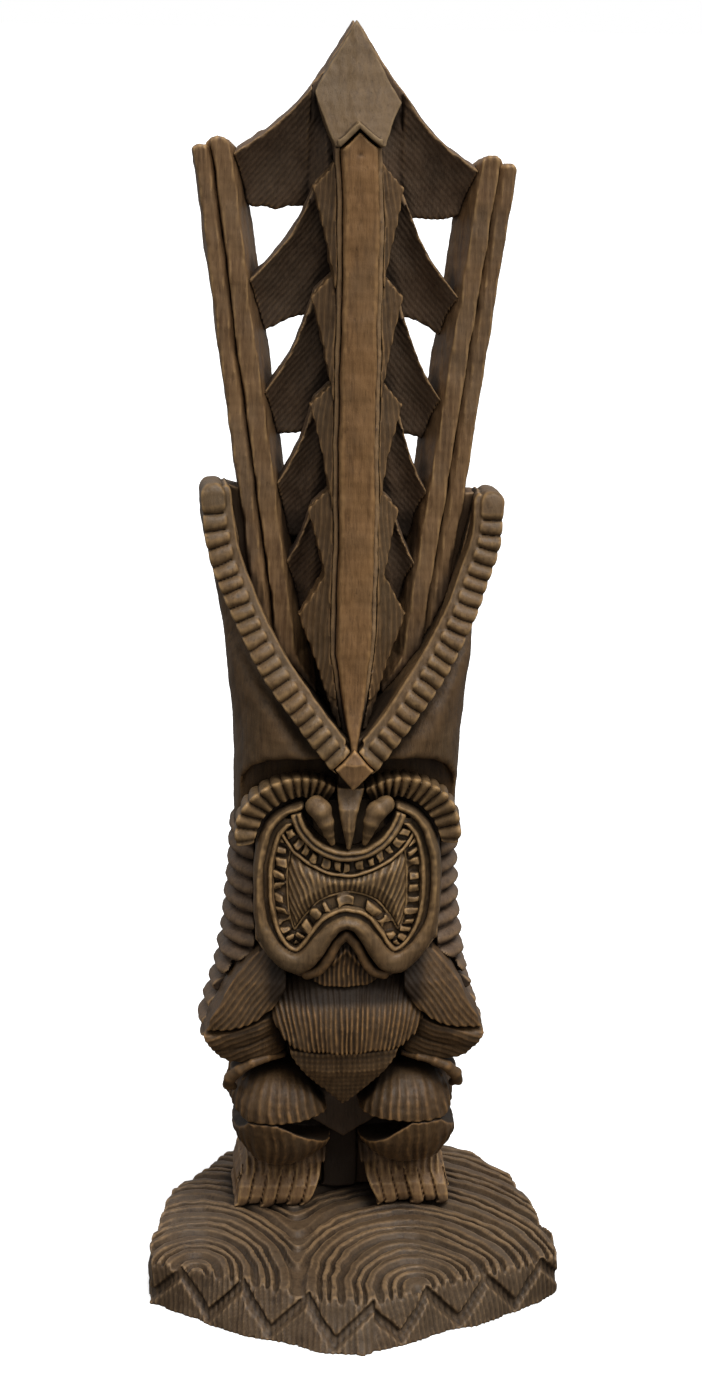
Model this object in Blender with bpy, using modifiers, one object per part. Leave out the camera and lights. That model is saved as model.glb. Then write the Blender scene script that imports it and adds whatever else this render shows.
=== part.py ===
"""Tiki figure: a glued and pegged assembly of carved pieces, 300 mm tall.

Z is up, the figure faces -Y, and +X is the viewer's right. The origin is the centre of the
bounding box on the underside of the base. Lengths in the tables are millimetres.
"""
import math

import bmesh
import bpy
from mathutils import Vector

MM = 0.001
GAP = 0.3                      # clearance between two pieces that meet
SIDES = {"left": -1, "right": 1}

# Levels, from the floor up
BASE_TOP = 12.0
FOOT_TOP = 26.0
CALF_TOP = 35.2
THIGH_TOP = 50.0
WAIST = 56.0
CHEST_TOP = 76.0
MANE_TOP = 109.7
BROW_UNDERSIDE = 126.8
CROWN_TOP = 193.0
SPINE_TOP = 272.4
TIP_TOP = 300.0

# Depth planes, from the front of the face to the back of the head
LIP_FRONT = -10.0
FACE_PLANE = -3.0
ARM_BACK = 10.0
HEADDRESS_BACK = 16.7
MANE_BACK = 34.0
CHEEK_FRONT = 2.0

# Headdress: five barbs a side hang between the spine and the rails
BARB_PITCH = 24.6
BARB_FIRST_ROOT = 263.7
BARB_START = 9.8
# Root level at the keel, then how far ridge and lower edge fall on the way to the rail
BARBS = {
    1: dict(root=284.0, fall=(0.0, 4.4, 8.2, 11.4, 14.0), drop=(26.0, 26.2, 26.0, 25.6, 25.0)),
    2: dict(root=263.7, fall=(0.0, 6.4, 12.4, 17.8, 22.8), drop=(30.8, 31.6, 32.8, 34.2, 35.4)),
    3: dict(root=239.1, fall=(0.0, 6.8, 13.0, 18.8, 24.2), drop=(32.8, 33.4, 34.0, 34.4, 34.8)),
    4: dict(root=214.5, fall=(0.0, 6.6, 12.6, 18.0, 23.0), drop=(32.8, 33.4, 34.0, 34.4, 34.8)),
    5: dict(root=189.9, fall=(0.0, 4.6, 8.6, 11.8, 14.2), drop=(24.6, 24.4, 24.2, 24.4, 24.8)),
}
RAIL_TOP = {"left": 2.0, "right": -1.6}      # the left pair of rails stands a little taller
RAIL_SLOPE = 0.122
RAIL_LEVEL = 193.0
RAIL_INNER_X = 19.0

RAIL_BARS = {
    "rail_inner_": dict(low=163.0, high=272.0, offset=0.0, width=4.4, slant=3.4, front=6.0),
    "rail_outer_": dict(low=168.0, high=269.6, offset=4.8, width=3.9, slant=0.0, front=6.8),
}
# Half of the V notch in the crown, from its foot to above the crown: x, z
NOTCH_SIDE = [(0.0, 135.4), (3.0, 138.0), (16.6, 155.0), (23.4, 168.0), (28.6, 192.0), (40.0, 194.5),
              (40.1, 200.0)]

# Hidden pegs
PEG_SIDES = 20
ANKLE_PEG = dict(x=16.0, y=17.0, radius=2.0, low=5.0, high=31.0)
NECK_PEG = dict(x=0.0, y=19.0, radius=4.0, low=44.0, high=133.0)
CREST_PEG = dict(x=0.0, y=7.5, radius=2.5, low=129.0, high=150.0)

WOOD_TONES = {
    "lit": (0.165, 0.085, 0.036, 1.0),
    "mid": (0.120, 0.066, 0.032, 1.0),
    "deep": (0.060, 0.038, 0.024, 1.0),
    "peg": (0.330, 0.210, 0.110, 1.0),
}


def clear_scene():
    for item in list(bpy.data.objects):
        bpy.data.objects.remove(item, do_unlink=True)


def make_collection(name):
    collection = bpy.data.collections.new(name)
    bpy.context.scene.collection.children.link(collection)
    return collection


def make_material(name, tone, roughness):
    material = bpy.data.materials.new(name)
    material.use_nodes = True
    shader = material.node_tree.nodes["Principled BSDF"]
    shader.inputs["Base Color"].default_value = WOOD_TONES[tone]
    shader.inputs["Roughness"].default_value = roughness
    shader.inputs["Metallic"].default_value = 0.0
    return material


def solid(name, rings, tone="mid", collection=None):
    """One closed body through a stack of rings with equally many points."""
    mesh_data = bmesh.new()
    levels = [[mesh_data.verts.new(Vector(point) * MM) for point in ring] for ring in rings]
    count = len(rings[0])
    for lower, upper in zip(levels, levels[1:]):
        for i in range(count):
            j = (i + 1) % count
            mesh_data.faces.new((lower[i], lower[j], upper[j], upper[i]))
    mesh_data.faces.new(levels[0][::-1])
    mesh_data.faces.new(levels[-1])
    bmesh.ops.recalc_face_normals(mesh_data, faces=mesh_data.faces)
    mesh = bpy.data.meshes.new(name)
    mesh_data.to_mesh(mesh)
    mesh_data.free()
    item = bpy.data.objects.new(name, mesh)
    (collection or PARTS).objects.link(item)
    if collection is CUTTERS:
        item.hide_render = True
        item.display_type = "WIRE"
    else:
        mesh.materials.append(make_material(name + "_wood", tone, 0.62))
    return item


def bevel(item, width, segments=1, angle=35.0):
    modifier = item.modifiers.new("Bevel", "BEVEL")
    modifier.width = width * MM
    modifier.segments = segments
    modifier.limit_method = "ANGLE"
    modifier.angle_limit = math.radians(angle)
    modifier.harden_normals = False
    return item


def cut(item, cutter):
    modifier = item.modifiers.new("Cut_" + cutter.name, "BOOLEAN")
    modifier.operation = "DIFFERENCE"
    modifier.solver = "EXACT"
    modifier.object = cutter
    return item


def flip(outline, sign):
    """An outline of (x, z) points drawn for the right side, for either side."""
    return [(sign * x, z) for x, z in outline]


def slab(name, outline, front, back, tone="mid", crown=0.0, crown_depth=0.0, collection=None):
    """A front-view outline given thickness in Y, its front face drawn in by crown."""
    centre_x = sum(x for x, _ in outline) / len(outline)
    centre_z = sum(z for _, z in outline) / len(outline)
    rings = [[(x, back, z) for x, z in outline]]
    if crown:
        rings.append([(x, front + crown_depth, z) for x, z in outline])
        keep = 1.0 - crown
        drawn = [(centre_x + (x - centre_x) * keep, centre_z + (z - centre_z) * keep) for x, z in outline]
        rings.append([(x, front, z) for x, z in drawn])
    else:
        rings.append([(x, front, z) for x, z in outline])
    return solid(name, rings, tone, collection)


def oval(z, half_x, front, back, power=2.6, count=28):
    """A level ring between two depths, rounded like a superellipse."""
    centre_y = 0.5 * (front + back)
    half_y = 0.5 * (back - front)
    ring = []
    for i in range(count):
        angle = 2.0 * math.pi * i / count
        c, s = math.cos(angle), math.sin(angle)
        x = half_x * math.copysign(abs(c) ** (2.0 / power), c)
        y = centre_y + half_y * math.copysign(abs(s) ** (2.0 / power), s)
        ring.append((x, y, z))
    return ring


def cylinder(name, peg, grow=0.0, collection=None):
    ring = []
    for i in range(PEG_SIDES):
        angle = 2.0 * math.pi * i / PEG_SIDES
        radius = peg["radius"] + grow
        ring.append((peg["x"] + radius * math.cos(angle), peg["y"] + radius * math.sin(angle)))
    rings = [[(x, y, z) for x, y in ring] for z in (peg["low"] - grow, peg["high"] + grow)]
    item = solid(name, rings, "peg", collection)
    item.data.shade_smooth()
    item.data.set_sharp_from_angle(angle=math.radians(40))
    return item


def strip_outline(path, half_width):
    """The outline of a strip of even width along a front-view path."""
    left, right = [], []
    for i, (x, z) in enumerate(path):
        before = Vector(path[max(i - 1, 0)])
        after = Vector(path[min(i + 1, len(path) - 1)])
        along = (after - before).normalized()
        left.append((x - along.y * half_width, z + along.x * half_width))
        right.append((x + along.y * half_width, z - along.x * half_width))
    return left + right[::-1]


def arc_path(centre_z, radius, start, end, count):
    """Points on the lower part of a circle about (0, centre_z), angles in degrees."""
    path = []
    for i in range(count):
        angle = math.radians(start + (end - start) * i / (count - 1))
        path.append((radius * math.cos(angle), centre_z + radius * math.sin(angle)))
    return path


def mirrored_path(half):
    """A path drawn from the left end to the middle, carried on to the right end."""
    return half + [(-x, z) for x, z in half[-2::-1]]


def build_base():
    top = [(-28, 46), (25, 48), (33, 40), (41.5, 29), (48.5, -10), (48.5, -23), (25, -33),
           (1.5, -43), (-24, -33), (-50, -21), (-48, 2), (-44, 22), (-35, 37)]
    bottom = [(-29, 48), (26, 49), (34, 41.5), (43, 30), (50, -10), (50, -20), (24, -37),
              (1.5, -49.7), (-25, -38), (-50, -20), (-49, 2), (-45, 23), (-36, 39)]
    rings = [[(x, y, 0.0) for x, y in bottom], [(x, y, BASE_TOP) for x, y in top]]
    base = bevel(solid("base_plinth", rings, "mid"), 0.8)
    for side in SIDES:
        cut(base, ANKLE_HOLES[side])


def build_foot(side, sign):
    outline = [(4.2, FOOT_TOP - GAP), (26.5, FOOT_TOP - GAP), (27.3, 20), (26.6, BASE_TOP + GAP),
               (11.3, BASE_TOP + GAP), (8, 19)]
    foot = slab("foot_" + side, flip(outline, sign), 8.0, 30.0)
    slope = [(0, 7, 18.2), (0, 14.5, 27.5), (0, 4, 27.5), (0, 4, 18.2)]
    rings = [[(sign * x, y, z) for _, y, z in slope] for x in (0.0, 32.0)]
    cut(foot, solid("instep_cut_" + side, rings, collection=CUTTERS))
    for toe in range(4):
        x = 13.6 + toe * 3.0
        groove = [(x, 5.0), (x + 1.0, 5.0), (x + 1.0, 11.0), (x, 11.0)]
        rings = [[(sign * gx, gy, z) for gx, gy in groove] for z in (BASE_TOP - 2.0, 21.0)]
        cut(foot, solid("toe_cut_%s_%d" % (side, toe), rings, collection=CUTTERS))
    cut(foot, ANKLE_HOLES[side])


def build_leg(side, sign):
    calf = [(4.8, 30.4), (18.7, CALF_TOP - GAP), (26.0, CALF_TOP - GAP), (26.8, 32.6), (24.0, 27.4),
            (22.0, FOOT_TOP + GAP), (10.5, FOOT_TOP + GAP), (6.0, 28.8)]
    piece = slab("calf_" + side, flip(calf, sign), 3.5, 26.0, crown=0.18, crown_depth=4.0)
    cut(piece, ANKLE_HOLES[side])
    thigh = [(4.4, 39.6), (8.0, 45.4), (12.0, 48.6), (16.2, THIGH_TOP), (22.0, 47.2), (25.6, 43.4),
             (28.0, 39.3), (24.5, 36.0), (18.7, CALF_TOP + GAP), (5.6, 37.6)]
    slab("thigh_" + side, flip(thigh, sign), -3.0, 12.0, crown=0.30, crown_depth=6.0)


def build_trunk():
    wide = ((-1, 12.3), (1, 12.3), (1.1, 22), (0.8, 30), (-0.8, 30), (-1.1, 22))
    narrow = ((-1, 14.0), (1, 14.0), (1, 22), (0.9, 29), (-0.9, 29), (-1, 22))
    levels = ((BASE_TOP + GAP, narrow, 3.8), (CALF_TOP + 0.6, narrow, 3.8), (CALF_TOP + 1.0, wide, 16.0),
              (WAIST - GAP, wide, 16.0))
    hips = [[(x * half, y, z) for x, y in outline] for z, outline, half in levels]
    block = solid("hip_block", hips, "deep")
    cut(block, NECK_HOLE)
    belly = [(-13.0, WAIST - GAP), (13.0, WAIST - GAP), (9.0, 50.4), (0.0, 40.4), (-9.0, 50.4)]
    slab("belly", belly, -5.0, 12.0, crown=0.20, crown_depth=4.0)
    chest = [(-11.0, CHEST_TOP - GAP), (11.0, CHEST_TOP - GAP), (16.6, 72.0), (17.4, 66.5), (15.6, 60.0),
             (8.6, WAIST), (-8.6, WAIST), (-15.6, 60.0), (-17.4, 66.5), (-16.6, 72.0)]
    slab("chest", chest, -7.0, ARM_BACK, "lit", crown=0.22, crown_depth=6.0)


def build_arm(side, sign):
    upper = [(19.6, 79.2), (17.9, 75.4), (17.9, 69.6), (21.4, 65.6), (30.4, 60.9), (34.6, 60.2), (32.0, 68.0),
             (26.6, 76.4)]
    slab("upper_arm_" + side, flip(upper, sign), -4.0, ARM_BACK, crown=0.25, crown_depth=6.0)
    forearm = [(34.2, 59.6), (30.0, 60.3), (20.4, 62.6), (17.9, 60.0), (16.6, 56.4), (22.0, 52.4),
               (27.0, 51.2), (31.4, 54.6)]
    slab("forearm_" + side, flip(forearm, sign), -2.0, ARM_BACK, crown=0.20, crown_depth=5.0)
    hand = [(15.6, 55.6), (14.8, 52.4), (18.0, 49.9), (22.6, 47.7), (25.8, 44.4), (28.6, 43.0), (31.0, 45.4),
            (29.4, 49.6), (26.4, 50.7), (21.8, 51.8)]
    slab("hand_" + side, flip(hand, sign), 0.0, ARM_BACK)


def build_mane(side, sign):
    """Half of the ribbed hair: it wraps the sides and the back of the head."""
    profile = [(WAIST + GAP, 35.0, ARM_BACK + GAP), (58.5, 35.4, ARM_BACK + GAP), (66.0, 32.6, ARM_BACK + GAP),
               (80.0, 29.0, ARM_BACK + GAP), (82.0, 28.6, CHEEK_FRONT), (92.0, 27.6, CHEEK_FRONT),
               (MANE_TOP, 27.2, CHEEK_FRONT)]
    inner = 22.0 + GAP
    inner_front = ARM_BACK + 3.0 * GAP
    rings = []
    for z, half, front in profile:
        plan = [(0.5 * GAP, inner_front), (inner, inner_front), (inner, front), (half - 1.5, front),
                (half, front + 3.0), (half, 24.0), (half - 6.0, 31.0), (half - 14.0, MANE_BACK),
                (0.5 * GAP, MANE_BACK)]
        rings.append([(sign * x, y, z) for x, y in plan])
    cut(solid("mane_" + side, rings, "deep"), NECK_HOLE)


def build_face():
    face = [(-10, CHEST_TOP + GAP), (10, CHEST_TOP + GAP), (19, 82), (22, 90), (22, BROW_UNDERSIDE - GAP),
            (-22, BROW_UNDERSIDE - GAP), (-22, 90), (-19, 82)]
    slab("face_block", face, FACE_PLANE, ARM_BACK, "deep")
    lip = mirrored_path([(-15.6, 118.2), (-19.6, 113.4), (-21.3, 106.5), (-21.4, 99.0), (-19.8, 90.8),
                         (-16.9, 84.6), (-13.2, 82.3), (-9.6, 84.2), (-6.6, 88.8), (-3.8, 93.4), (0.0, 95.4)])
    slab("lower_lip", strip_outline(lip, 1.5), LIP_FRONT, FACE_PLANE - GAP, "lit")
    teeth = mirrored_path([(-16.8, 110.6), (-17.9, 105.0), (-17.9, 97.5), (-16.2, 90.6), (-13.3, 87.0),
                           (-10.4, 89.4), (-7.4, 93.8), (-4.2, 97.3), (0.0, 98.7)])
    slab("lower_teeth", strip_outline(teeth, 1.0), -7.5, FACE_PLANE - GAP)
    arc_centre = 121.1
    slab("upper_lip", strip_outline(arc_path(arc_centre, 14.4, 199.0, 341.0, 21), 0.9), -9.5,
         FACE_PLANE - GAP, "lit")
    slab("upper_teeth", strip_outline(arc_path(arc_centre, 16.5, 206.0, 334.0, 21), 0.8), -7.8,
         FACE_PLANE - GAP)
    over = arc_path(arc_centre, 17.8, 214.0, 326.0, 15)
    under = mirrored_path([(-15.9, 105.0), (-15.7, 97.8), (-14.6, 91.6), (-13.2, 89.4), (-11.6, 91.2),
                           (-8.6, 95.8), (-4.9, 99.3), (0.0, 100.6)])
    slab("tongue", over + under[::-1], -6.0, FACE_PLANE - GAP, "deep")
    chin = [(-9.4, 79.6), (-6.0, 76.6), (6.0, 76.6), (9.4, 79.6), (4.4, 87.6), (0.0, 91.4), (-4.4, 87.6)]
    slab("chin", chin, -8.5, FACE_PLANE - GAP, crown=0.15, crown_depth=2.0)
    nose = [(-3.2, 124.4), (3.2, 124.4), (3.9, 119.4), (10.2, 119.4), (9.0, 115.0), (3.6, 109.6),
            (-3.6, 109.6), (-9.0, 115.0), (-10.2, 119.4), (-3.9, 119.4)]
    bevel(slab("nose", nose, -12.4, FACE_PLANE - GAP, "lit"), 0.9)


def build_brow_fan(side, sign):
    """The pleats round the eye, between the lip and the brow."""
    outline = [(4.6, 123.6), (12.0, 125.4), (20.0, 123.9), (25.4, 119.2), (28.0, 113.0), (28.2, 108.4),
               (23.6, 107.0), (22.0, 113.2), (17.6, 120.0), (4.6, 120.2)]
    bevel(slab("brow_fan_" + side, flip(outline, sign), -7.6, FACE_PLANE - GAP), 0.6)


def band_stations(sign):
    """Middle of the band, from the keystone up round the head: x, y, z and outward lean."""
    stations = [(5.0, -10.6, 133.6, 0.1), (11.0, -9.6, 140.4, 0.3), (18.0, -7.2, 149.4, 0.6),
                (24.6, -3.6, 160.6, 0.9), (29.0, 0.6, 173.0, 1.2), (31.6, 4.2, 186.6, 1.4)]
    return [(sign * x, y, z, sign * lean) for x, y, z, lean in stations]


def band_rings(sign, grow=0.0):
    """Square sections along the band, each turned to face outward from the head."""
    stations = band_stations(sign)
    width, depth = 2.6 + grow, 2.0 + grow
    rings = []
    for i, (x, y, z, lean) in enumerate(stations):
        before = stations[max(i - 1, 0)]
        after = stations[min(i + 1, len(stations) - 1)]
        along = Vector(after[:3]) - Vector(before[:3])
        along.normalize()
        outward = Vector((math.sin(lean), -math.cos(lean), 0.0))
        outward -= along * outward.dot(along)
        outward.normalize()
        across = along.cross(outward)
        centre = Vector((x, y, z))
        if i == 0:
            centre -= along * grow
        if i == len(stations) - 1:
            centre += along * (grow + 3.0)
        rings.append([tuple(centre + across * (width * a) + outward * (depth * b))
                      for a, b in ((-1, -1), (1, -1), (1, 1), (-1, 1))])
    return rings


def build_band():
    for side, sign in SIDES.items():
        bevel(solid("brow_band_" + side, band_rings(sign), "lit"), 0.5)
    keystone = [(0.0, 135.0), (4.0, 130.4), (0.0, 125.2), (-4.0, 130.4)]
    bevel(slab("band_keystone", keystone, -13.6, -8.4, "lit"), 0.5)


def build_head():
    sections = [(110.0, 27.4, -8.0), (BROW_UNDERSIDE, 27.4, -9.6), (136.0, 27.6, -9.6), (152.0, 29.0, -7.4),
                (170.0, 32.0, -4.0), (186.0, 34.4, -0.6), (CROWN_TOP, 34.8, 0.8)]
    rings = [oval(z, half, front, MANE_BACK, 3.4) for z, half, front in sections]
    head = solid("head_block", rings)
    notch = mirrored_path([(-x, z) for x, z in NOTCH_SIDE[::-1]])
    cut(head, slab("crest_notch", notch, -20.0, HEADDRESS_BACK + GAP, collection=CUTTERS))
    under_face = [(-22.0 - GAP, 100.0), (22.0 + GAP, 100.0), (22.0 + GAP, BROW_UNDERSIDE),
                  (-22.0 - GAP, BROW_UNDERSIDE)]
    cut(head, slab("face_seat", under_face, -20.0, ARM_BACK + GAP, collection=CUTTERS))
    under_brow = [(-40.0, 101.0), (40.0, 101.0), (40.0, 126.0), (-40.0, 126.0)]
    cut(head, slab("brow_seat", under_brow, -21.0, CHEEK_FRONT - GAP, collection=CUTTERS))
    for side, sign in SIDES.items():
        cut(head, solid("band_seat_" + side, band_rings(sign, 2.0 * GAP), collection=CUTTERS))
    keystone_seat = [(0.0, 136.0), (4.6, 130.5), (0.0, 124.4), (-4.6, 130.5)]
    cut(head, slab("keystone_seat", keystone_seat, -22.0, -8.0, collection=CUTTERS))
    cut(head, NECK_HOLE)
    cut(head, CREST_HOLE)


def rail_x(z):
    """Inner front edge of the pair of rails at a level."""
    return RAIL_INNER_X + RAIL_SLOPE * (z - RAIL_LEVEL)


def notch_half(z):
    """Half the width of the crown's notch at a level."""
    for (x0, z0), (x1, z1) in zip(NOTCH_SIDE, NOTCH_SIDE[1:]):
        if z <= z1:
            return x0 + (x1 - x0) * (z - z0) / (z1 - z0)
    return 100.0


def rail_rings(bar, side, grow=0.0):
    """Levels of one bar, kept inside the notch where it stands in the crown."""
    sign = SIDES[side]
    rings = []
    for z in (bar["low"] - grow, 168.4, 180.0, 192.4, bar["high"] + RAIL_TOP[side] + grow):
        if z < bar["low"] - grow:
            continue
        inner = rail_x(z) + bar["offset"]
        outer = min(inner + bar["width"], notch_half(z) - GAP) + grow
        front, back = bar["front"] - grow, HEADDRESS_BACK + grow
        heel = inner - bar["slant"] - grow
        plan = [(inner - grow, front), (outer, front), (outer, back), (heel, back), (heel - 0.01, back - 2.0)]
        rings.append([(sign * x, y, z) for x, y in plan])
    return rings


def build_rails(side):
    """Two parallel bars: the inner one has a slanted inner face towards the windows."""
    for prefix, bar in RAIL_BARS.items():
        bevel(solid(prefix + side, rail_rings(bar, side), "lit"), 0.7)


def build_keel():
    outline = [(0.0, 137.0), (3.4, 154.0), (3.4, 267.4), (0.0, 271.6), (-3.4, 267.4), (-3.4, 154.0)]
    bevel(slab("keel_bar", outline, -7.4, -2.4, "lit"), 0.9)
    spine = [(0.0, 136.6), (3.4, 139.6), (4.6, 152.0), (4.6, SPINE_TOP - 0.4), (-4.6, SPINE_TOP - 0.4),
             (-4.6, 152.0), (-3.4, 139.6)]
    block = slab("headdress_spine", spine, -2.1, HEADDRESS_BACK, "deep")
    cut(block, CREST_HOLE)


def scale_outline():
    """Stacked lozenges beside the keel, drawn from the top down."""
    inner = 4.9
    outline = [(inner, 271.0), (9.2, 263.7)]
    for k in range(1, 5):
        root = BARB_FIRST_ROOT - k * BARB_PITCH
        outline.append((6.6, root + 8.6))
        outline.append((10.2, root))
    outline += [(7.4, 172.0), (12.0, 163.6), (inner, 146.0)]
    return outline


def build_scales(side, sign):
    slab("keel_scales_" + side, flip(scale_outline(), sign), -3.0, 1.6, "mid")


def barb_rings(number, side):
    """A barb hangs from a raised ridge: its face falls back to the lower edge."""
    sign = SIDES[side]
    barb = BARBS[number]
    end = rail_x(barb["root"] - barb["fall"][-1]) + 1.6
    rings = []
    for i, (fall, drop) in enumerate(zip(barb["fall"], barb["drop"])):
        t = i / (len(barb["fall"]) - 1.0)
        x = BARB_START + (end - BARB_START) * t
        low_x = x - 1.6 * t
        ridge_z, low_z = barb["root"] - fall, barb["root"] - drop
        ridge_y, low_y = 2.4 + 4.6 * t, 10.8 + 1.0 * t
        rings.append([(sign * x, ridge_y, ridge_z), (sign * low_x, low_y, low_z),
                      (sign * low_x, 15.6, low_z), (sign * x, ridge_y + 5.4, ridge_z)])
    return rings


def build_barbs(side, sign):
    seat = solid("rail_seat_" + side, rail_rings(RAIL_BARS["rail_inner_"], side, GAP), collection=CUTTERS)
    for number in BARBS:
        rings = barb_rings(number, side)
        if number == 1:
            apex = [(0.4, 8.0, 298.0), (0.4, 8.6, 273.0), (0.4, 15.6, 273.0), (0.4, 12.0, 298.0)]
            shoulder = [(6.0, 7.0, 289.6), (6.0, 8.6, 273.0), (6.0, 15.6, 273.0), (6.0, 11.6, 289.6)]
            rings = [[(sign * x, y, z) for x, y, z in ring] for ring in (apex, shoulder)] + rings
        cut(solid("barb_%s_%d" % (side, number), rings, "deep"), seat)


def build_finial():
    """A kite-shaped cap that leans back to the tip."""
    levels = [(272.6, 5.6, -6.6, 2.0), (283.6, 9.5, -4.4, 2.0), (TIP_TOP - 0.8, 0.7, 4.6, 6.8)]
    rings = []
    for z, half, front, back in levels:
        rings.append([(-half, back, z), (-half, front + 1.6, z), (0.0, front, z), (half, front + 1.6, z),
                      (half, back, z)])
    rings.append([(x * 0.3, 5.8 + (y - 5.8) * 0.3, TIP_TOP) for x, y, _ in rings[-1]])
    solid("finial", rings, "lit")


clear_scene()
PARTS = make_collection("tiki_figure")
CUTTERS = make_collection("cutters")

ANKLE_HOLES = {}
for side_name, side_sign in SIDES.items():
    ankle = dict(ANKLE_PEG, x=side_sign * ANKLE_PEG["x"])
    cylinder("ankle_peg_" + side_name, ankle)
    ANKLE_HOLES[side_name] = cylinder("ankle_hole_" + side_name, ankle, GAP, CUTTERS)
cylinder("neck_peg", NECK_PEG)
NECK_HOLE = cylinder("neck_hole", NECK_PEG, GAP, CUTTERS)
cylinder("crest_peg", CREST_PEG)
CREST_HOLE = cylinder("crest_hole", CREST_PEG, GAP, CUTTERS)

build_base()
build_trunk()
build_face()
build_head()
build_band()
build_keel()
build_finial()
for side_name, side_sign in SIDES.items():
    build_foot(side_name, side_sign)
    build_leg(side_name, side_sign)
    build_arm(side_name, side_sign)
    build_mane(side_name, side_sign)
    build_brow_fan(side_name, side_sign)
    build_rails(side_name)
    build_scales(side_name, side_sign)
    build_barbs(side_name, side_sign)
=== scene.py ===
import math

import bpy
import numpy as np
from mathutils import Matrix, Vector


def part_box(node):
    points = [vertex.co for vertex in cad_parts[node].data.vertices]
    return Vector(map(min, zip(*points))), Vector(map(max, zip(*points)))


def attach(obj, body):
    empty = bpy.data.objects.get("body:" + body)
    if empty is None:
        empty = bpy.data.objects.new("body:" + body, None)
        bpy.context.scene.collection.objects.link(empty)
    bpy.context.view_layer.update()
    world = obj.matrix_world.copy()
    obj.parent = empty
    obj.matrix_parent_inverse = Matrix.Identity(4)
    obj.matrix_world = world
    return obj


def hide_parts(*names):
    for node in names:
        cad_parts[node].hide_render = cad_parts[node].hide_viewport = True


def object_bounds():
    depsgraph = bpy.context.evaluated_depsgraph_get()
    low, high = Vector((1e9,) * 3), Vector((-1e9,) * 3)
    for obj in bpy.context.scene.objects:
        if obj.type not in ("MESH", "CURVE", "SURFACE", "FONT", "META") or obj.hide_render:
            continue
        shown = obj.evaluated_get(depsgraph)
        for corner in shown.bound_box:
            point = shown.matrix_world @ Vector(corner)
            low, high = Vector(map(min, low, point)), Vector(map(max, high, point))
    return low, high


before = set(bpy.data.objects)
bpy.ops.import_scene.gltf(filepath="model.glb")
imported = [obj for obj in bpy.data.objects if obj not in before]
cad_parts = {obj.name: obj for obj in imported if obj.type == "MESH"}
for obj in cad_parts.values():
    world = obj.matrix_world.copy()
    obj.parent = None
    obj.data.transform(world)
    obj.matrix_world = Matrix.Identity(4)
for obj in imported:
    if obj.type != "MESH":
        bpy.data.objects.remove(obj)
cad_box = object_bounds()

# Lengths are millimetres, as in the CAD tables: +Z up, the face looks to -Y, +X is the viewer's right.
# Paired pieces are drawn for the right side and mirrored. GAP is the glue gap between neighbours.
MM = 0.001
GAP = 0.15
SIDES = {"left": -1.0, "right": 1.0}


def node_box(node):
    """Low and high corners of a CAD node, in mm."""
    low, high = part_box(node)
    return np.array(low) / MM, np.array(high) / MM


# ---------------------------------------------------------------- distance fields
def smax(a, b, k):
    """The larger of two fields, blended over k: a rounded corner."""
    h = np.maximum(k - np.abs(a - b), 0.0) / k
    return np.maximum(a, b) + h * h * k * 0.25


def smin(a, b, k):
    """The smaller of two fields, blended over k: a filleted join."""
    h = np.maximum(k - np.abs(a - b), 0.0) / k
    return np.minimum(a, b) - h * h * k * 0.25


def polygon(u, v, points):
    """Signed distance to a closed outline, negative inside."""
    nearest = np.float32(1e9)
    inside = np.zeros(np.broadcast(u, v).shape, bool)
    for (ax, ay), (bx, by) in zip(points, points[-1:] + points[:-1]):
        ex, ey = bx - ax, by - ay
        wx, wy = u - ax, v - ay
        t = unit((wx * ex + wy * ey) / (ex * ex + ey * ey + 1e-9))
        nearest = np.minimum(nearest, (wx - ex * t) ** 2 + (wy - ey * t) ** 2)
        if ay != by:
            inside = inside ^ (((ay > v) != (by > v)) & (u < ex * (v - ay) / (by - ay) + ax))
    return np.where(inside, -1.0, 1.0) * np.sqrt(nearest)


def along(u, v, points):
    """Distance to an open path, and how far along it the nearest point lies."""
    nearest = np.full(np.broadcast(u, v).shape, 1e9)
    place = np.zeros(nearest.shape)
    start = 0.0
    for (ax, ay), (bx, by) in zip(points, points[1:]):
        ex, ey = bx - ax, by - ay
        length = math.hypot(ex, ey)
        wx, wy = u - ax, v - ay
        t = unit((wx * ex + wy * ey) / (length * length + 1e-12))
        square = (wx - ex * t) ** 2 + (wy - ey * t) ** 2
        closer = square < nearest
        nearest = np.where(closer, square, nearest)
        place = np.where(closer, start + t * length, place)
        start += length
    return np.sqrt(nearest), place


def tube(x, y, z, points):
    """Distance to a chain of round cones through (x, y, z, radius) points."""
    best = 1e9
    for (ax, ay, az, ar), (bx, by, bz, br) in zip(points, points[1:]):
        ex, ey, ez = bx - ax, by - ay, bz - az
        t = ((x - ax) * ex + (y - ay) * ey + (z - az) * ez) / (ex * ex + ey * ey + ez * ez)
        t = unit(t)
        reach = np.sqrt((x - ax - ex * t) ** 2 + (y - ay - ey * t) ** 2 + (z - az - ez * t) ** 2)
        best = smin(best, reach - (ar + (br - ar) * t), 0.4) if np.ndim(best) else reach - (ar + (br - ar) * t)
    return best


def curve(points, count):
    """A smooth path through the given points."""
    knots = np.array([points[0]] + list(points) + [points[-1]], float)
    spans = len(points) - 1
    path = []
    for i in range(count):
        place = i * spans / (count - 1)
        k = min(int(place), spans - 1)
        t = place - k
        a, b, c, d = knots[k:k + 4]
        path.append(tuple(0.5 * (2 * b + (c - a) * t + (2 * a - 5 * b + 4 * c - d) * t * t
                                 + (3 * b - a - 3 * c + d) * t ** 3)))
    return path


def plane(x, y, z, point, normal):
    """Distance in front of a plane."""
    nx, ny, nz = np.array(normal, float) / np.linalg.norm(normal)
    return (x - point[0]) * nx + (y - point[1]) * ny + (z - point[2]) * nz


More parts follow.
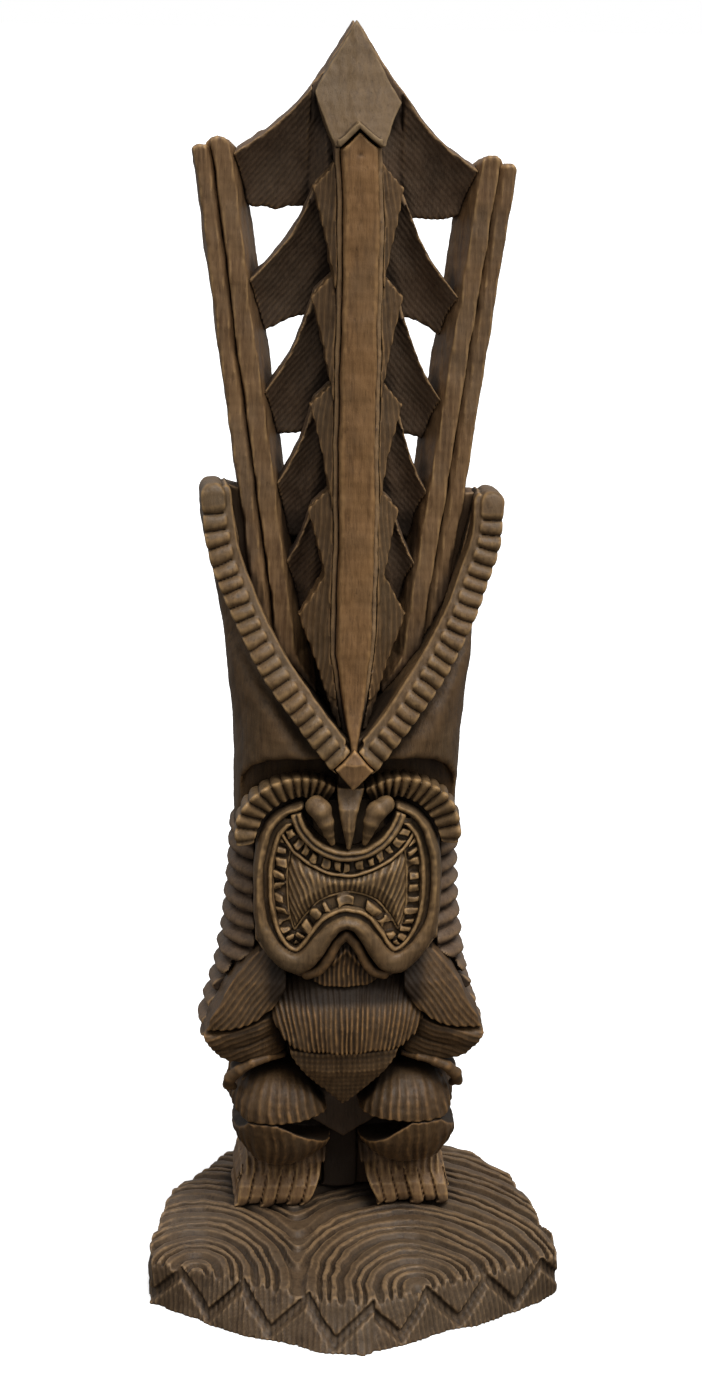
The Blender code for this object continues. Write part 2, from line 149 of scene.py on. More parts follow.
def lumps(x, y, z, size, seed, waves=5):
    """A smooth uneven field between about -1 and 1 with features of a given size."""
    rng = np.random.default_rng(seed)
    total = 0.0
    for _ in range(waves):
        direction = rng.normal(size=3)
        direction *= 2.0 * math.pi / (size * np.linalg.norm(direction) * rng.uniform(0.8, 1.5))
        total = total + np.sin(x * direction[0] + y * direction[1] + z * direction[2] + rng.uniform(0, 6.28))
    return total / math.sqrt(waves * 2.0)


def unit(value):
    """A value held between 0 and 1."""
    return np.clip(value, 0.0, 1.0)


def profile(place, places, values):
    """A table read between its rows."""
    return np.interp(place, places, values).astype(np.float32)


def ridges(phase):
    """Rounded ridges with narrow grooves, 0 in the groove and 1 on the crest, one per unit of phase."""
    return np.sqrt(np.abs(np.sin(math.pi * phase)))


def mirrored(half):
    """A path drawn on the right from the top down to the middle, carried up the left side."""
    return half + [(-x, z) for x, z in half[-2::-1]]


# ---------------------------------------------------------------- meshing
def surface_net(values, low, step):
    """Quads on the zero level of a grid of values, one vertex per crossed cell."""
    inside = values < 0.0
    count = np.zeros(tuple(n - 1 for n in values.shape), np.int8)
    corners = [(i, j, k) for i in (0, 1) for j in (0, 1) for k in (0, 1)]
    nx, ny, nz = count.shape
    for i, j, k in corners:
        count += inside[i:i + nx, j:j + ny, k:k + nz]
    cells = np.argwhere((count > 0) & (count < 8))
    ci, cj, ck = cells.T
    corner = {c: values[ci + c[0], cj + c[1], ck + c[2]] for c in corners}
    total = np.zeros((len(cells), 3))
    weight = np.zeros(len(cells))
    for a in corners:
        for axis in range(3):
            if a[axis]:
                continue
            b = tuple(1 if n == axis else a[n] for n in range(3))
            va, vb = corner[a], corner[b]
            cross = (va < 0) != (vb < 0)
            t = np.where(cross, va / np.where(cross, va - vb, 1.0), 0.0)
            point = np.repeat(np.array([a], float), len(cells), 0)
            point[:, axis] += t
            total += point * cross[:, None]
            weight += cross
    vertices = low + step * (cells + total / weight[:, None])
    index = np.full(count.shape, -1, np.int64)
    index[ci, cj, ck] = np.arange(len(cells))
    quads = []
    for axis in range(3):
        first = [slice(None)] * 3
        second = [slice(None)] * 3
        first[axis] = slice(None, -1)
        second[axis] = slice(1, None)
        start, end = inside[tuple(first)], inside[tuple(second)]
        u, v = [n for n in range(3) if n != axis]
        for leaving in (True, False):
            edges = np.argwhere((start & ~end) if leaving else (~start & end))
            edges = edges[(edges[:, u] > 0) & (edges[:, v] > 0)]
            edges = edges[(edges[:, u] < values.shape[u] - 1) & (edges[:, v] < values.shape[v] - 1)]
            around = []
            for du, dv in ((-1, -1), (0, -1), (0, 0), (-1, 0)):
                cell = edges.copy()
                cell[:, u] += du
                cell[:, v] += dv
                around.append(index[tuple(cell.T)])
            quad = np.stack(around, 1)
            if leaving == (axis == 1):
                quad = quad[:, ::-1]
            quads.append(quad)
    return vertices, np.concatenate(quads)


def neighbour_mean(points, quads, rounds):
    """Vertices moved towards the mean of their neighbours, a number of times."""
    a = np.concatenate([quads[:, 0], quads[:, 1], quads[:, 2], quads[:, 3]])
    b = np.concatenate([quads[:, 1], quads[:, 2], quads[:, 3], quads[:, 0]])
    start, end = np.concatenate([a, b]), np.concatenate([b, a])
    number = np.maximum(np.bincount(start, minlength=len(points)), 1)
    for _ in range(rounds):
        mean = [np.bincount(start, points[end, n], len(points)) / number for n in range(3)]
        points = 0.5 * points + 0.5 * np.stack(mean, 1)
    return points


def largest_parts(points, quads, least=0.04):
    """Drops loose crumbs: parts with under a small share of the vertices."""
    label = np.arange(len(points))
    while True:
        low = label[quads].min(1)
        fresh = label.copy()
        np.minimum.at(fresh, quads.ravel(), np.repeat(low, 4))
        fresh = fresh[fresh]
        if (fresh == label).all():
            break
        label = fresh
    size = np.bincount(label, minlength=len(points))
    keep = size[label] > least * len(points)
    place = np.cumsum(keep) - 1
    return points[keep], place[quads[keep[quads[:, 0]]]]


COARSER = 1.0
TOOL_MARKS = 0.035


class Body:
    """One carved piece: its field, where it is sampled and what it is made of."""

    def __init__(self, node, field, step, material, slot, margin=2.5, sign=1.0):
        self.node, self.field, self.step = node, field, step * COARSER
        self.material, self.slot, self.sign = material, slot, sign
        low, high = node_box(node)
        self.low = low - np.array(margin) - self.step
        self.size = np.ceil((high + np.array(margin) + self.step - self.low) / self.step).astype(int) + 1

    def sample(self):
        x, y, z = [(self.low[n] + self.step * np.arange(self.size[n])).astype(np.float32) for n in range(3)]
        x, y, z = x[:, None, None], y[None, :, None], z[None, None, :]
        values = self.field(x * np.float32(self.sign), y, z)
        values = values + TOOL_MARKS * lumps(x, y, z, 2.1, 12)
        values = np.array(np.broadcast_to(values, tuple(self.size)), np.float32)
        for axis in range(3):
            edge = [slice(None)] * 3
            for side in (0, -1):
                edge[axis] = side
                values[tuple(edge)] = np.maximum(values[tuple(edge)], 0.5 * self.step)
        return values


BODIES = []


def carve(*description):
    BODIES.append(Body(*description))


def carve_pair(prefix, field, step, material, slot, margin=2.5):
    """The same piece on both sides, drawn for the right side."""
    for side, sign in SIDES.items():
        carve(prefix + side, field, step, material, slot, margin, sign)


# ---------------------------------------------------------------- shared forms
PEG_HOLES = {}
for peg_name in ("ankle_peg_left", "ankle_peg_right", "neck_peg", "crest_peg"):
    peg_low, peg_high = node_box(peg_name)
    peg_middle = 0.5 * (peg_low + peg_high)
    peg_radius = 0.5 * (peg_high[0] - peg_low[0])
    PEG_HOLES[peg_name] = (peg_middle[0], peg_middle[1], peg_radius, peg_low[2], peg_high[2])


def peg_field(x, y, z, name, grow=0.0):
    px, py, radius, low, high = PEG_HOLES[name]
    round_side = np.sqrt((x - px) ** 2 + (y - py) ** 2) - radius - grow
    return np.maximum(round_side, np.maximum(low - grow - z, z - high - grow))


def without_peg(d, x, y, z, name):
    """Takes the peg's hole out of a field. The sign of X doesn't matter to the paired ankle pegs."""
    px = PEG_HOLES[name][0]
    return np.maximum(d, -peg_field(np.abs(x) if px > 0 else x, y, z, name, 0.2))


def spindle(x, y, middle_x, middle_y, half_x, half_y, power):
    """Radius of a point in a rounded-square section: 1 on the section's outline."""
    across, deep = np.abs(x - middle_x) / half_x, np.abs(y - middle_y) / half_y
    return (across ** power + deep ** power) ** (1.0 / power)


HEAD_LEVEL = (56.0, 59.0, 66.0, 74.0, 82.0, 92.0, 104.0, 120.0, 136.0, 152.0, 170.0, 186.0, 194.0)
HEAD_HALF = (33.6, 33.8, 31.8, 29.8, 28.4, 27.4, 26.8, 26.6, 27.2, 28.8, 31.4, 34.0, 34.6)
HEAD_FRONT = (1.0, 1.0, 1.0, 1.0, 1.0, 1.0, 0.5, -9.0, -9.6, -7.6, -4.0, -0.6, 0.6)
HEAD_BACK = 33.4
MANE_TOP = 111.2
RIB_PITCH = 4.46
RIB_FIRST = 105.6
BROW_SEAM = 121.4


def head_column(u, y, z, power=3.3):
    """The post that head and mane are carved from: a rounded-square section that changes with height."""
    half = profile(z, HEAD_LEVEL, HEAD_HALF)
    front = profile(z, HEAD_LEVEL, HEAD_FRONT)
    middle, depth = 0.5 * (front + HEAD_BACK), 0.5 * (HEAD_BACK - front)
    return (spindle(u, y, 0.0, middle, half, depth, power) - 1.0) * np.minimum(half, depth)


def rib_height(x, y, z):
    """Horizontal ribs of the mane, a little wavy, with an undercut below each."""
    level = z + 0.45 * lumps(x, y, 0.0 * z, 22.0, 31, 3) + 0.02 * (y - 10.0)
    phase = ((level - RIB_FIRST) / RIB_PITCH + 0.5) % 1.0
    crest = np.sin(math.pi * phase ** 0.8)
    return 2.1 * unit(crest) ** 0.55 - 1.35


# Outlines seen from the front, as (across, up): the notch in the brow, the hollow round the eyes, the middles of
# the band and of the lip, and the window in the mane that the arms fill.
NOTCH_EDGE = [(0.0, 135.4), (3.0, 138.0), (9.0, 145.2), (16.6, 155.0), (23.4, 168.0), (26.2, 179.0),
              (28.7, 191.0)]
NOTCH = mirrored([(46.0, 205.0), (46.0, 196.0), (36.0, 193.2)] + NOTCH_EDGE[::-1])
EYE_HOLLOW = [(-0.5, 130.6), (8.0, 131.0), (15.0, 131.2), (19.6, 130.4), (22.8, 128.4), (24.8, 124.8),
              (25.4, 118.0), (25.6, 108.0), (25.6, 98.0), (-0.5, 98.0)]
BAND_PATH = curve([(2.9, 131.6), (10.2, 140.8), (17.0, 150.2), (23.6, 161.6), (28.6, 173.6), (31.6, 182.6),
                   (32.6, 194.0)], 44)
LIP_PATH = mirrored(curve([(11.6, 119.6), (14.6, 118.4), (17.4, 116.2), (19.6, 112.8), (21.0, 107.0),
                           (21.3, 99.7), (20.8, 92.6), (19.2, 87.0), (16.4, 83.0), (13.0, 81.0), (9.9, 81.4),
                           (7.3, 84.2), (5.1, 87.8), (2.7, 90.9), (0.0, 91.9)], 44))
# The upper lip is an arc about a point of the face's middle line. The face's pieces are glued on at FACE_BACK.
ARC_LEVEL = 121.1
ARC_RADIUS = 13.4
FACE_BACK = -3.15
ARM_OUTLINE = [(14.0, 81.0), (21.0, 81.2), (26.6, 76.6), (31.4, 69.4), (34.4, 62.6), (35.4, 59.4), (32.0, 53.8),
               (27.6, 50.4), (14.0, 50.4)]


def muzzle(u, z):
    """Depth of the front of the muzzle: it bulges in the middle."""
    return -11.4 + u * u / 110.0 + (z - 97.0) ** 2 / 240.0


# ---------------------------------------------------------------- base, legs, trunk
# The base sits aside of the figure. Its outline is given at the top and at the foot, and growth rings spread from
# two middles on its top: (x, y, stretch along y, offset).
BASE_ASIDE = 2.4
BASE_TOP_LINE = [(-28, 46), (-6, 47.4), (26, 48.2), (35.4, 41.6), (42.6, 29), (46, 10), (48.4, -10), (48.4, -22),
                 (37, -28), (25, -33), (10, -40), (-2.2, -43.8), (-13, -39.4), (-26, -33), (-37, -27), (-50, -21),
                 (-49.6, -10), (-48, 2), (-43.4, 22), (-33.6, 37)]
BASE_FOOT_LINE = [(-29, 47.6), (-6, 48.4), (27, 48.8), (36, 42), (44, 30), (47, 12), (49.4, -9), (49.2, -19),
                  (38, -29), (25, -36.5), (10, -43.6), (-2.0, -50.4), (-12, -47.0), (-27, -39), (-39, -29.6),
                  (-50.4, -20), (-50.2, -9), (-48.8, 2), (-44.4, 23), (-34.6, 39)]
BASE_HEIGHT = 12.0
SWIRLS = ((12.0, -40.0, 1.62, 0.0), (-39.5, -28.0, 1.55, 4.0))
RING_PITCH = 2.75


def shark_teeth(x, y, z):
    """A zigzag channel with raised triangles above and below it, round the front of the base."""
    place = np.where(x < 1.5, 0.86 * x - 0.30 * y, 0.86 * x + 0.30 * y - 0.9)
    swing = np.abs(((place / 7.4) % 2.0) - 1.0)
    middle = 1.8 + 8.2 * swing
    channel = np.abs(z - middle) * 0.66 - 0.95
    grain = 0.16 * np.sin(place * 5.0 + 0.6 * z + 1.5 * lumps(x, y, 0.2 * z, 8.0, 47))
    return 1.35 * unit(0.5 - channel / 0.55) * ((z > 0.8) & (z < 12.4)) - 0.1 + grain


def base_plinth(x, y, z):
    """A slab of a log: an uneven outline that spreads to the foot, a carved border and a ringed top."""
    x = x - BASE_ASIDE
    flat = 0.0 * z
    wave = 0.55 * lumps(x, y, flat, 13.0, 41, 6) + 0.25 * lumps(x, y, flat, 5.0, 42, 6)
    top_line = polygon(x, y, BASE_TOP_LINE) + wave
    foot_line = polygon(x, y, BASE_FOOT_LINE) + wave
    share = unit(z / BASE_HEIGHT)
    side = foot_line * (1.0 - share) + top_line * share
    front = unit((-14.0 - y) / 6.0)
    border = shark_teeth(x, y, z)
    side = side + front * border + (1.0 - front) * 0.25 * lumps(x * 0.4, y * 0.4, z * 2.2, 6.0, 43)
    depth = [np.hypot(x - sx, (y - sy) / stretch) + offset for sx, sy, stretch, offset in SWIRLS]
    ring = smin(depth[0], depth[1], 5.0) + 0.55 * lumps(x, y, flat, 17.0, 44) + 0.16 * lumps(x, y, flat, 5.0, 45)
    phase = ring / RING_PITCH
    phase = phase + 0.18 * np.sin(2.0 * math.pi * phase * 0.37 + 1.0)
    crest = np.abs(((phase + 0.5) % 1.0) - 0.5) * 2.0
    groove = unit((crest - 0.40) / 0.42)
    groove = groove * groove * (3.0 - 2.0 * groove)
    edge_fall = 0.5 * unit(1.0 + top_line / 3.0)
    level = BASE_HEIGHT - 0.1 + 0.35 * lumps(x, y, flat, 40.0, 46) - 1.35 * groove - edge_fall
    d = smax(side, z - level, 0.6)
    d = np.maximum(d, -z)
    for name in ("ankle_peg_left", "ankle_peg_right"):
        d = without_peg(d, x + BASE_ASIDE, y, z, name)
    return d


KNEE_X = 16.6
KNEE_Z = 38.5

FOOT_SEAM = 26.1


def calf_rim(u):
    """Upper edge of the calf: level outside the knee, falling away inside it, which opens the dark slot."""
    outward = (u - KNEE_X) * 0.08 + np.maximum(u - 23.5, 0.0) * 0.9
    return KNEE_Z - np.where(u < KNEE_X, (KNEE_X - u) * 0.62, outward)


def thigh_rim(u):
    """Lower edge of the thigh."""
    outward = (u - KNEE_X) * -0.05 + np.maximum(u - 24.5, 0.0) * 0.9
    return KNEE_Z + np.where(u < KNEE_X, (KNEE_X - u) * 0.06, outward)


def hip_post(x, y):
    """Positive within the post that stands between the legs."""
    return np.minimum(4.3 - x, y - 13.7)


def foot(x, y, z):
    """A wedge from the instep down to five toes parted by grooves."""
    side_view = polygon(y, z, [(7.4, 12.1), (7.0, 14.8), (7.6, 17.4), (9.6, 19.4), (12.4, 21.6), (15.4, 25.9),
                               (29.6, 25.9), (31.0, 21.0), (30.2, 12.1)])
    front_view = polygon(x, z, [(3.4, 25.9), (22.4, 25.9), (25.2, 21.0), (26.6, 17.0), (26.4, 12.1), (9.4, 12.1),
                                (7.8, 15.0), (5.4, 20.6)])
    toe = (x + 0.25 * (z - 16.0) - 9.7) / 3.3
    gap = 1.0 - ridges(toe)
    tip = unit((20.8 - z) / 2.6) * unit((16.0 - y) / 2.0) * (x > 8.4)
    uneven = 1.1 * np.sin(np.floor(toe) * 2.4)
    d = smax(side_view + uneven * unit((12.0 - y) / 3.0) * 0.6, front_view, 0.4)
    d = d + 1.9 * gap ** 2.6 * tip
    instep = unit((z - 18.5) / 1.5)
    d = d + 0.24 * instep * np.sin(x * 3.6 + 0.5 * np.sin(z)) + 0.35 * instep * lumps(x, y, z * 0.4, 4.0, 51)
    web = np.maximum(np.maximum(4.35 - x, x - 13.0), np.maximum(21.0 - y, y - 28.0))
    d = np.minimum(d, np.maximum(web, np.maximum(12.12 - z, z - 25.9)))
    d = np.maximum(d, hip_post(x, y))
    return without_peg(d, x, y, z, "ankle_peg_right")


def thigh(x, y, z):
    """A dome that swells from its rim, cut back for the hips and the belly."""
    rim = thigh_rim(x)
    share = np.clip((z - rim) / (51.4 - rim), -0.3, 1.0)
    shrink = np.sqrt(np.maximum(1.0 - np.maximum(share, 0.0) ** 2.1, 0.003)) ** 0.85
    middle_x = 15.2 + 1.0 * share
    ratio = spindle(x, y, middle_x, 13.2, 12.8 * shrink, 17.4 * shrink, 2.3)
    d = (ratio - 1.0) * 10.0 * np.maximum(shrink, 0.2)
    fan = np.arctan2(x - 16.4, 28.0 - y + (50.0 - z) * 0.4)
    strokes = np.sin(fan * 90.0 + 1.8 * lumps(x, y, z * 0.4, 9.0, 61))
    d = d + 0.15 * strokes * np.clip(1.2 - share, 0.2, 1.0)
    d = smax(d, (rim - z) * 0.95, 0.35)
    d = smax(d, 3.2 - x, 0.8)
    hips = smax(spindle(np.abs(x), y, 0.0, 21.0, 17.6, 10.0, 3.0) - 1.0, (12.1 - y) * 0.1, 0.01)
    d = np.maximum(d, -hips * 9.0)
    belly_side = polygon(x, z, [(-1.0, 39.6), (3.4, 39.6), (9.9, 49.9), (13.6, 56.5), (-1.0, 60.0)])
    return smax(d, 0.4 - belly_side, 0.5)


def calf(x, y, z):
    """A bowl under the knee that narrows to the ankle."""
    rim = calf_rim(x)
    share = np.clip((rim - z) / np.maximum(rim - 25.6, 1.0), -0.4, 1.0)
    shrink = 1.0 - 0.34 * np.maximum(share, 0.0) ** 1.9
    ratio = spindle(x, y, 15.6, 13.2, 12.2 * shrink, 17.2 * shrink, 2.3)
    d = (ratio - 1.0) * 10.0 * shrink
    fan = np.arctan2(x - 15.7, 30.0 - y)
    strokes = np.sin(fan * 78.0 + 1.6 * lumps(x, y, z, 8.0, 62))
    d = d + 0.14 * strokes * unit(0.3 + share)
    bowl = np.minimum(0.75 * np.clip(-(ratio - 1.0) * 10.0, 0.0, 20.0), 5.0) * unit((19.8 - x) / 3.4)
    d = smax(d, (z - rim + bowl) * 0.80, 0.35)
    web = np.maximum(np.maximum(4.35 - x, x - 19.0), np.abs(y - 20.5) - 5.5)
    d = np.minimum(d, np.maximum(web, z - rim))
    d = smax(d, FOOT_SEAM - z, 0.3)
    d = np.maximum(d, hip_post(x, y))
    return without_peg(d, x, y, z, "ankle_peg_right")


def hip_block(x, y, z):
    u = np.abs(x)
    ratio = spindle(u, y, 0.0, 21.0, 17.2, 9.6, 3.0)
    d = (ratio - 1.0) * 9.0
    cheeks = np.exp(-(u / 1.6) ** 2) * 2.4 * unit((y - 20.0) / 8.0)
    d = d + cheeks + 0.10 * np.sin(x * 6.0 + lumps(x, y, z, 10.0, 63))
    d = smax(d, calf_rim(u) + 0.25 - z, 0.3)
    post = smax(smax(u - 4.15, 19.0 - y, 0.5), y - 28.6 + 0.3 * lumps(x, y, z * 0.3, 6.0, 60), 1.5)
    d = np.minimum(d, np.maximum(post, 12.2 - z))
    d = smax(d, z - 56.2, 0.2)
    d = smax(d, 12.4 - y, 0.3)
    return without_peg(d, x, y, z, "neck_peg")


def belly(x, y, z):
    u = np.abs(x)
    front_view = polygon(u, z, [(-1.0, 57.9), (13.4, 57.9), (12.4, 55.4), (8.4, 50.2), (0.3, 42.2), (-1.0, 42.2)])
    front = -6.4 + 0.014 * u * u + 0.05 * (58.0 - z)
    lower = -6.4 + 0.62 * (53.0 - z) + 0.02 * u * u
    d = smax(front_view, smax(front, lower, 0.5) - y, 0.8)
    d = d + 0.09 * np.sin(x * 5.0 + 1.3 * lumps(x, y, z * 0.3, 6.0, 65)) + 0.05 * np.sin(z * 4.6)
    return smax(d, y - 12.0, 0.3)


def chest(x, y, z):
    x = x - 0.7
    u = np.abs(x)
    front_view = polygon(u, z, [(-1.0, 76.6), (12.0, 76.6), (16.6, 73.8), (18.6, 69.6), (18.2, 65.6),
                                (16.2, 61.8), (13.2, 59.4), (10.2, 58.7), (5.6, 59.0), (2.6, 58.2),
                                (-1.0, 58.4)])
    front = -9.4 + 5.6 * (u / 18.2) ** 2.4 + 0.005 * (z - 59.0) ** 2 + 0.040 * np.maximum(z - 64.0, 0.0) ** 2
    spread = 1.0 + 0.016 * (z - 62.0)
    wander = 0.9 * lumps(x, 0.0 * y, z * 0.22, 4.0, 66)
    grooves = np.sin(2.0 * math.pi * x / (1.18 * spread) + wander)
    strength = 0.10 + 0.12 * np.clip(1.0 + lumps(x, 0.0 * y, z * 0.35, 6.0, 67), 0.0, 2.0)
    d = smax(front_view, front - y, 0.9) + strength * grooves
    return smax(d, y - 10.0, 0.3)


# ---------------------------------------------------------------- arms
UPPER_ARM_EDGE = curve([(9.6, 79.6), (12.4, 76.0), (14.8, 72.4), (17.4, 68.8), (20.8, 66.0), (25.0, 64.0),
                        (30.4, 62.7), (33.6, 62.2)], 26)


def upper_arm(x, y, z):
    leaf = curve([(10.0, 81.6), (15.6, 84.2), (21.6, 81.8), (26.2, 76.4), (29.8, 70.0), (32.4, 65.2),
                  (33.6, 62.4)], 20)
    outline = polygon(x, z, leaf + UPPER_ARM_EDGE[::-1])
    drop, _ = along(x, z, UPPER_ARM_EDGE)
    front = -5.2 + 0.036 * np.maximum(drop - 1.2, 0.0) ** 1.9 + 0.030 * np.maximum(x - 22.0, 0.0) ** 2
    front = front + 0.16 * np.maximum(z - 75.0, 0.0)
    strokes = 0.13 * np.sin((x * 0.80 + z * 0.60) * 4.9 + 1.2 * lumps(x, y, z, 9.0, 71))
    d = smax(outline, front - y, 0.5) + strokes
    d = np.maximum(d, 14.2 - x)
    return smax(d, y - 10.0, 0.3)


FOREARM_RIDGE = curve([(33.0, 60.2), (28.4, 61.2), (23.6, 62.2), (19.0, 64.0), (15.0, 67.0)], 16)


def forearm(x, y, z):
    elbow = [(34.4, 60.4), (32.6, 57.4), (30.2, 54.8), (27.6, 53.4), (24.0, 53.2), (20.0, 53.6), (16.0, 54.2),
             (14.2, 56.0), (14.2, 73.0)]
    outline = polygon(x, z, UPPER_ARM_EDGE[2:] + elbow)
    under, _ = along(x, z, UPPER_ARM_EDGE)
    ridge, _ = along(x, z, FOREARM_RIDGE)
    lower = np.clip(59.0 - z, 0.0, 10.0)
    front = -2.9 + 0.10 * np.minimum(ridge, 4.0) ** 2 + 0.05 * lower ** 2 + 3.0 * np.exp(-(under / 0.9) ** 2)
    front = front + 0.016 * np.maximum(x - 25.0, 0.0) ** 2 + 0.06 * np.maximum(22.0 - x, 0.0) ** 2
    strokes = 0.10 * np.sin((x * 0.35 + z) * 4.2 + lumps(x, y, z, 8.0, 72))
    d = smax(outline + 0.15, front - y, 0.4) + strokes
    d = np.maximum(d, 14.2 - x)
    return smax(d, y - 10.0, 0.3)


def hand(x, y, z):
    knuckles = [(14.8, 2.8, 54.2, 0.7), (18.6, 0.4, 54.0, 0.9), (22.4, -0.8, 53.4, 1.1), (25.4, -0.4, 51.8, 1.35),
                (27.6, 0.8, 49.4, 1.5), (28.2, 2.4, 47.2, 1.4), (27.0, 4.0, 45.8, 0.9)]
    thumb = [(17.6, 6.6, 49.6, 0.5), (21.0, 5.8, 49.0, 0.6), (24.4, 5.4, 47.0, 0.6)]
    d = np.minimum(tube(x, y, z, knuckles), tube(x, y, z, thumb))
    back_part = polygon(x, z, [(14.4, 55.0), (14.4, 49.8), (19.6, 48.2), (24.4, 44.8), (27.2, 44.6), (28.6, 46.6),
                               (28.4, 50.0), (25.6, 53.0), (20.0, 54.8)])
    palm = smax(back_part + 0.3, np.maximum(9.0 - y, y - 10.0), 0.3)
    wrist = tube(x, y * 0.3, z, [(14.8, 1.4, 54.6, 0.8), (22.0, 1.2, 54.0, 0.9), (27.0, 1.4, 50.6, 0.9)])
    wrist = np.maximum(wrist, y - 9.9)
    return smin(smin(d, palm, 0.3), wrist, 0.3)


# ---------------------------------------------------------------- mane and face
def mane(x, y, z):
    d = head_column(x, y, z) - rib_height(x, y, z)
    d = smax(d, z - MANE_TOP + GAP, 0.3)
    d = np.maximum(d, 56.45 - z)
    core = np.maximum(x - 22.2, y - 10.3)
    arms = np.maximum(polygon(x, z, ARM_OUTLINE) - 0.3, y - 10.3)
    d = np.maximum(d, -np.minimum(core, arms))
    d = np.maximum(d, GAP * 0.5 - x)
    return without_peg(d, x, y, z, "neck_peg")


def face_block(x, y, z):
    u = np.abs(x)
    hollow = 3.4 * np.exp(-((u - 9.5) ** 2 + (z - 116.0) ** 2) / 50.0)
    front = -3.0 + hollow - 1.2 * ridges((z - RIB_FIRST) / RIB_PITCH + 0.5) * (z < 92.0)
    d = smax(u - 22.0, front - y, 0.5)
    d = np.maximum(d, np.maximum(76.4 - z, z - BROW_SEAM + 0.3))
    waist = polygon(u, z, [(-1.0, 76.4), (11.0, 76.4), (17.0, 80.0), (22.0, 86.0), (22.0, 126.4), (-1.0, 126.4)])
    return np.maximum(np.maximum(d, waist), y - 9.9)


FAN_MIDDLE = (9.6, 111.5)
KNUCKLE_PATH = curve([(4.4, 125.2), (8.0, 126.6), (12.6, 127.0), (17.6, 126.0), (22.2, 123.4), (25.4, 119.6),
                      (26.9, 115.4), (27.0, 111.4)], 50)


def knuckle_tables():
    """Angle, reach and number of the knuckles, seen from the middle of the fan, by rising angle."""
    rows = []
    number = 0.0
    length = 0.0
    total = sum(math.dist(a, b) for a, b in zip(KNUCKLE_PATH, KNUCKLE_PATH[1:]))
    for i, (px, pz) in enumerate(KNUCKLE_PATH):
        if i:
            step = math.dist(KNUCKLE_PATH[i - 1], (px, pz))
            length += step
            number += step / (1.75 + 2.3 * length / total)
        dx, dz = px - FAN_MIDDLE[0], pz - FAN_MIDDLE[1]
        rows.append((math.degrees(math.atan2(dz, dx)), math.hypot(dx, dz), number))
    return [list(column) for column in zip(*sorted(rows))]


def brow_fan(x, y, z):
    dx, dz = x - FAN_MIDDLE[0], z - FAN_MIDDLE[1]
    reach = np.hypot(dx, dz)
    turn = np.degrees(np.arctan2(dz, dx))
    angles, reaches, numbers = knuckle_tables()
    limit = profile(turn, angles, reaches)
    number = profile(turn, angles, numbers)
    share = np.clip(reach / limit, 0.0, 1.3)
    pleat = ridges(number + 0.25 * share ** 2)
    knuckle = 30.0 * np.maximum(share - 0.86, 0.0) ** 2
    front = -9.2 + 9.0 * (1.0 - np.minimum(share, 1.0)) ** 0.9 + knuckle + 2.0 * (1.0 - pleat) ** 1.1
    d = smax((reach - limit) * 0.9 + 0.7 * (1.0 - pleat), (front - y) * 0.8, 0.7)
    d = np.maximum(d, (-4.0 - turn) * 0.3)
    d = np.maximum(d, (turn - 116.0) * 0.15)
    d = np.maximum(d, 3.6 - x)
    back = np.where((x < 22.4) & (z < BROW_SEAM + 0.2), -3.1, 3.2)
    d = np.maximum(d, y - back)
    near, _ = along(x, z, LIP_PATH)
    mouth = polygon(x, z, LIP_PATH)
    return np.maximum(d, -np.minimum(near - 2.2, mouth))


def lip_fields(x, z):
    """Distance to the middle of the lip, its place along it, and the side: negative within the mouth."""
    near, place = along(x, z, LIP_PATH)
    arc = [(ARC_RADIUS * math.cos(turn), ARC_LEVEL + ARC_RADIUS * math.sin(turn))
           for turn in np.radians(range(190, 352, 9))]
    within = polygon(x, z, LIP_PATH + arc)
    return near, place, np.where(within < 0, -near, near)


def lower_lip(x, y, z):
    u = np.abs(x)
    near, _, offset = lip_fields(x, z)
    front = muzzle(u, z)
    low = unit((97.0 - z) / 9.0)
    half = 1.30 + 1.0 * low * np.exp(-((u - 12.0) / 6.5) ** 2) + 0.35 * low
    half = half - 0.35 * unit((z - 112.0) / 8.0)
    rim = smax(near - half, front + 0.6 * unit((z - 112.0) / 8.0) - y, 2.4)
    bead = smax(np.abs(offset + 2.9 + 0.5 * low) - 0.55, front + 1.8 - y, 0.9)
    bead = np.maximum(bead, z - 115.5)
    web = np.maximum(np.abs(offset + 2.0) - 1.8, front + 3.0 - y)
    web = np.maximum(web, z - 116.5)
    d = smin(rim, smin(bead, web, 0.4), 0.3)
    return np.maximum(d, y - FACE_BACK)


def lower_teeth(x, y, z):
    u = np.abs(x)
    _, place, offset = lip_fields(x, z)
    front = muzzle(u, z)
    low = unit((97.0 - z) / 9.0)
    wander = 0.35 * lumps(x, 0.0 * y, z, 6.0, 86)
    cell = (place / 3.3 + 0.4 * wander) % 1.0
    uneven = 0.4 * lumps(x, 0.0 * y, z, 7.0, 85)
    size = 1.0 + 0.35 * lumps(x, 0.0 * y, z, 3.5, 87)
    tooth = np.maximum(np.abs(offset + 4.9 + 0.4 * low + uneven) - 1.30 * size,
                       np.abs(cell - 0.5) * 3.3 - 0.95 * size)
    teeth = smax(tooth, front + 2.9 + 1.0 * lumps(x, 0.0 * y, z, 4.5, 81) - y, 0.8)
    bead = smax(np.abs(offset + 6.9) - 0.35, front + 4.0 - y, 0.6)
    web = np.maximum(np.abs(offset + 5.3) - 1.9, front + 4.6 - y)
    d = smin(smin(teeth, bead, 0.3), web, 0.3)
    arc = np.hypot(x, z - ARC_LEVEL)
    d = np.maximum(d, 18.6 - arc)
    d = np.maximum(d, z - 114.6)
    return np.maximum(d, y - FACE_BACK)


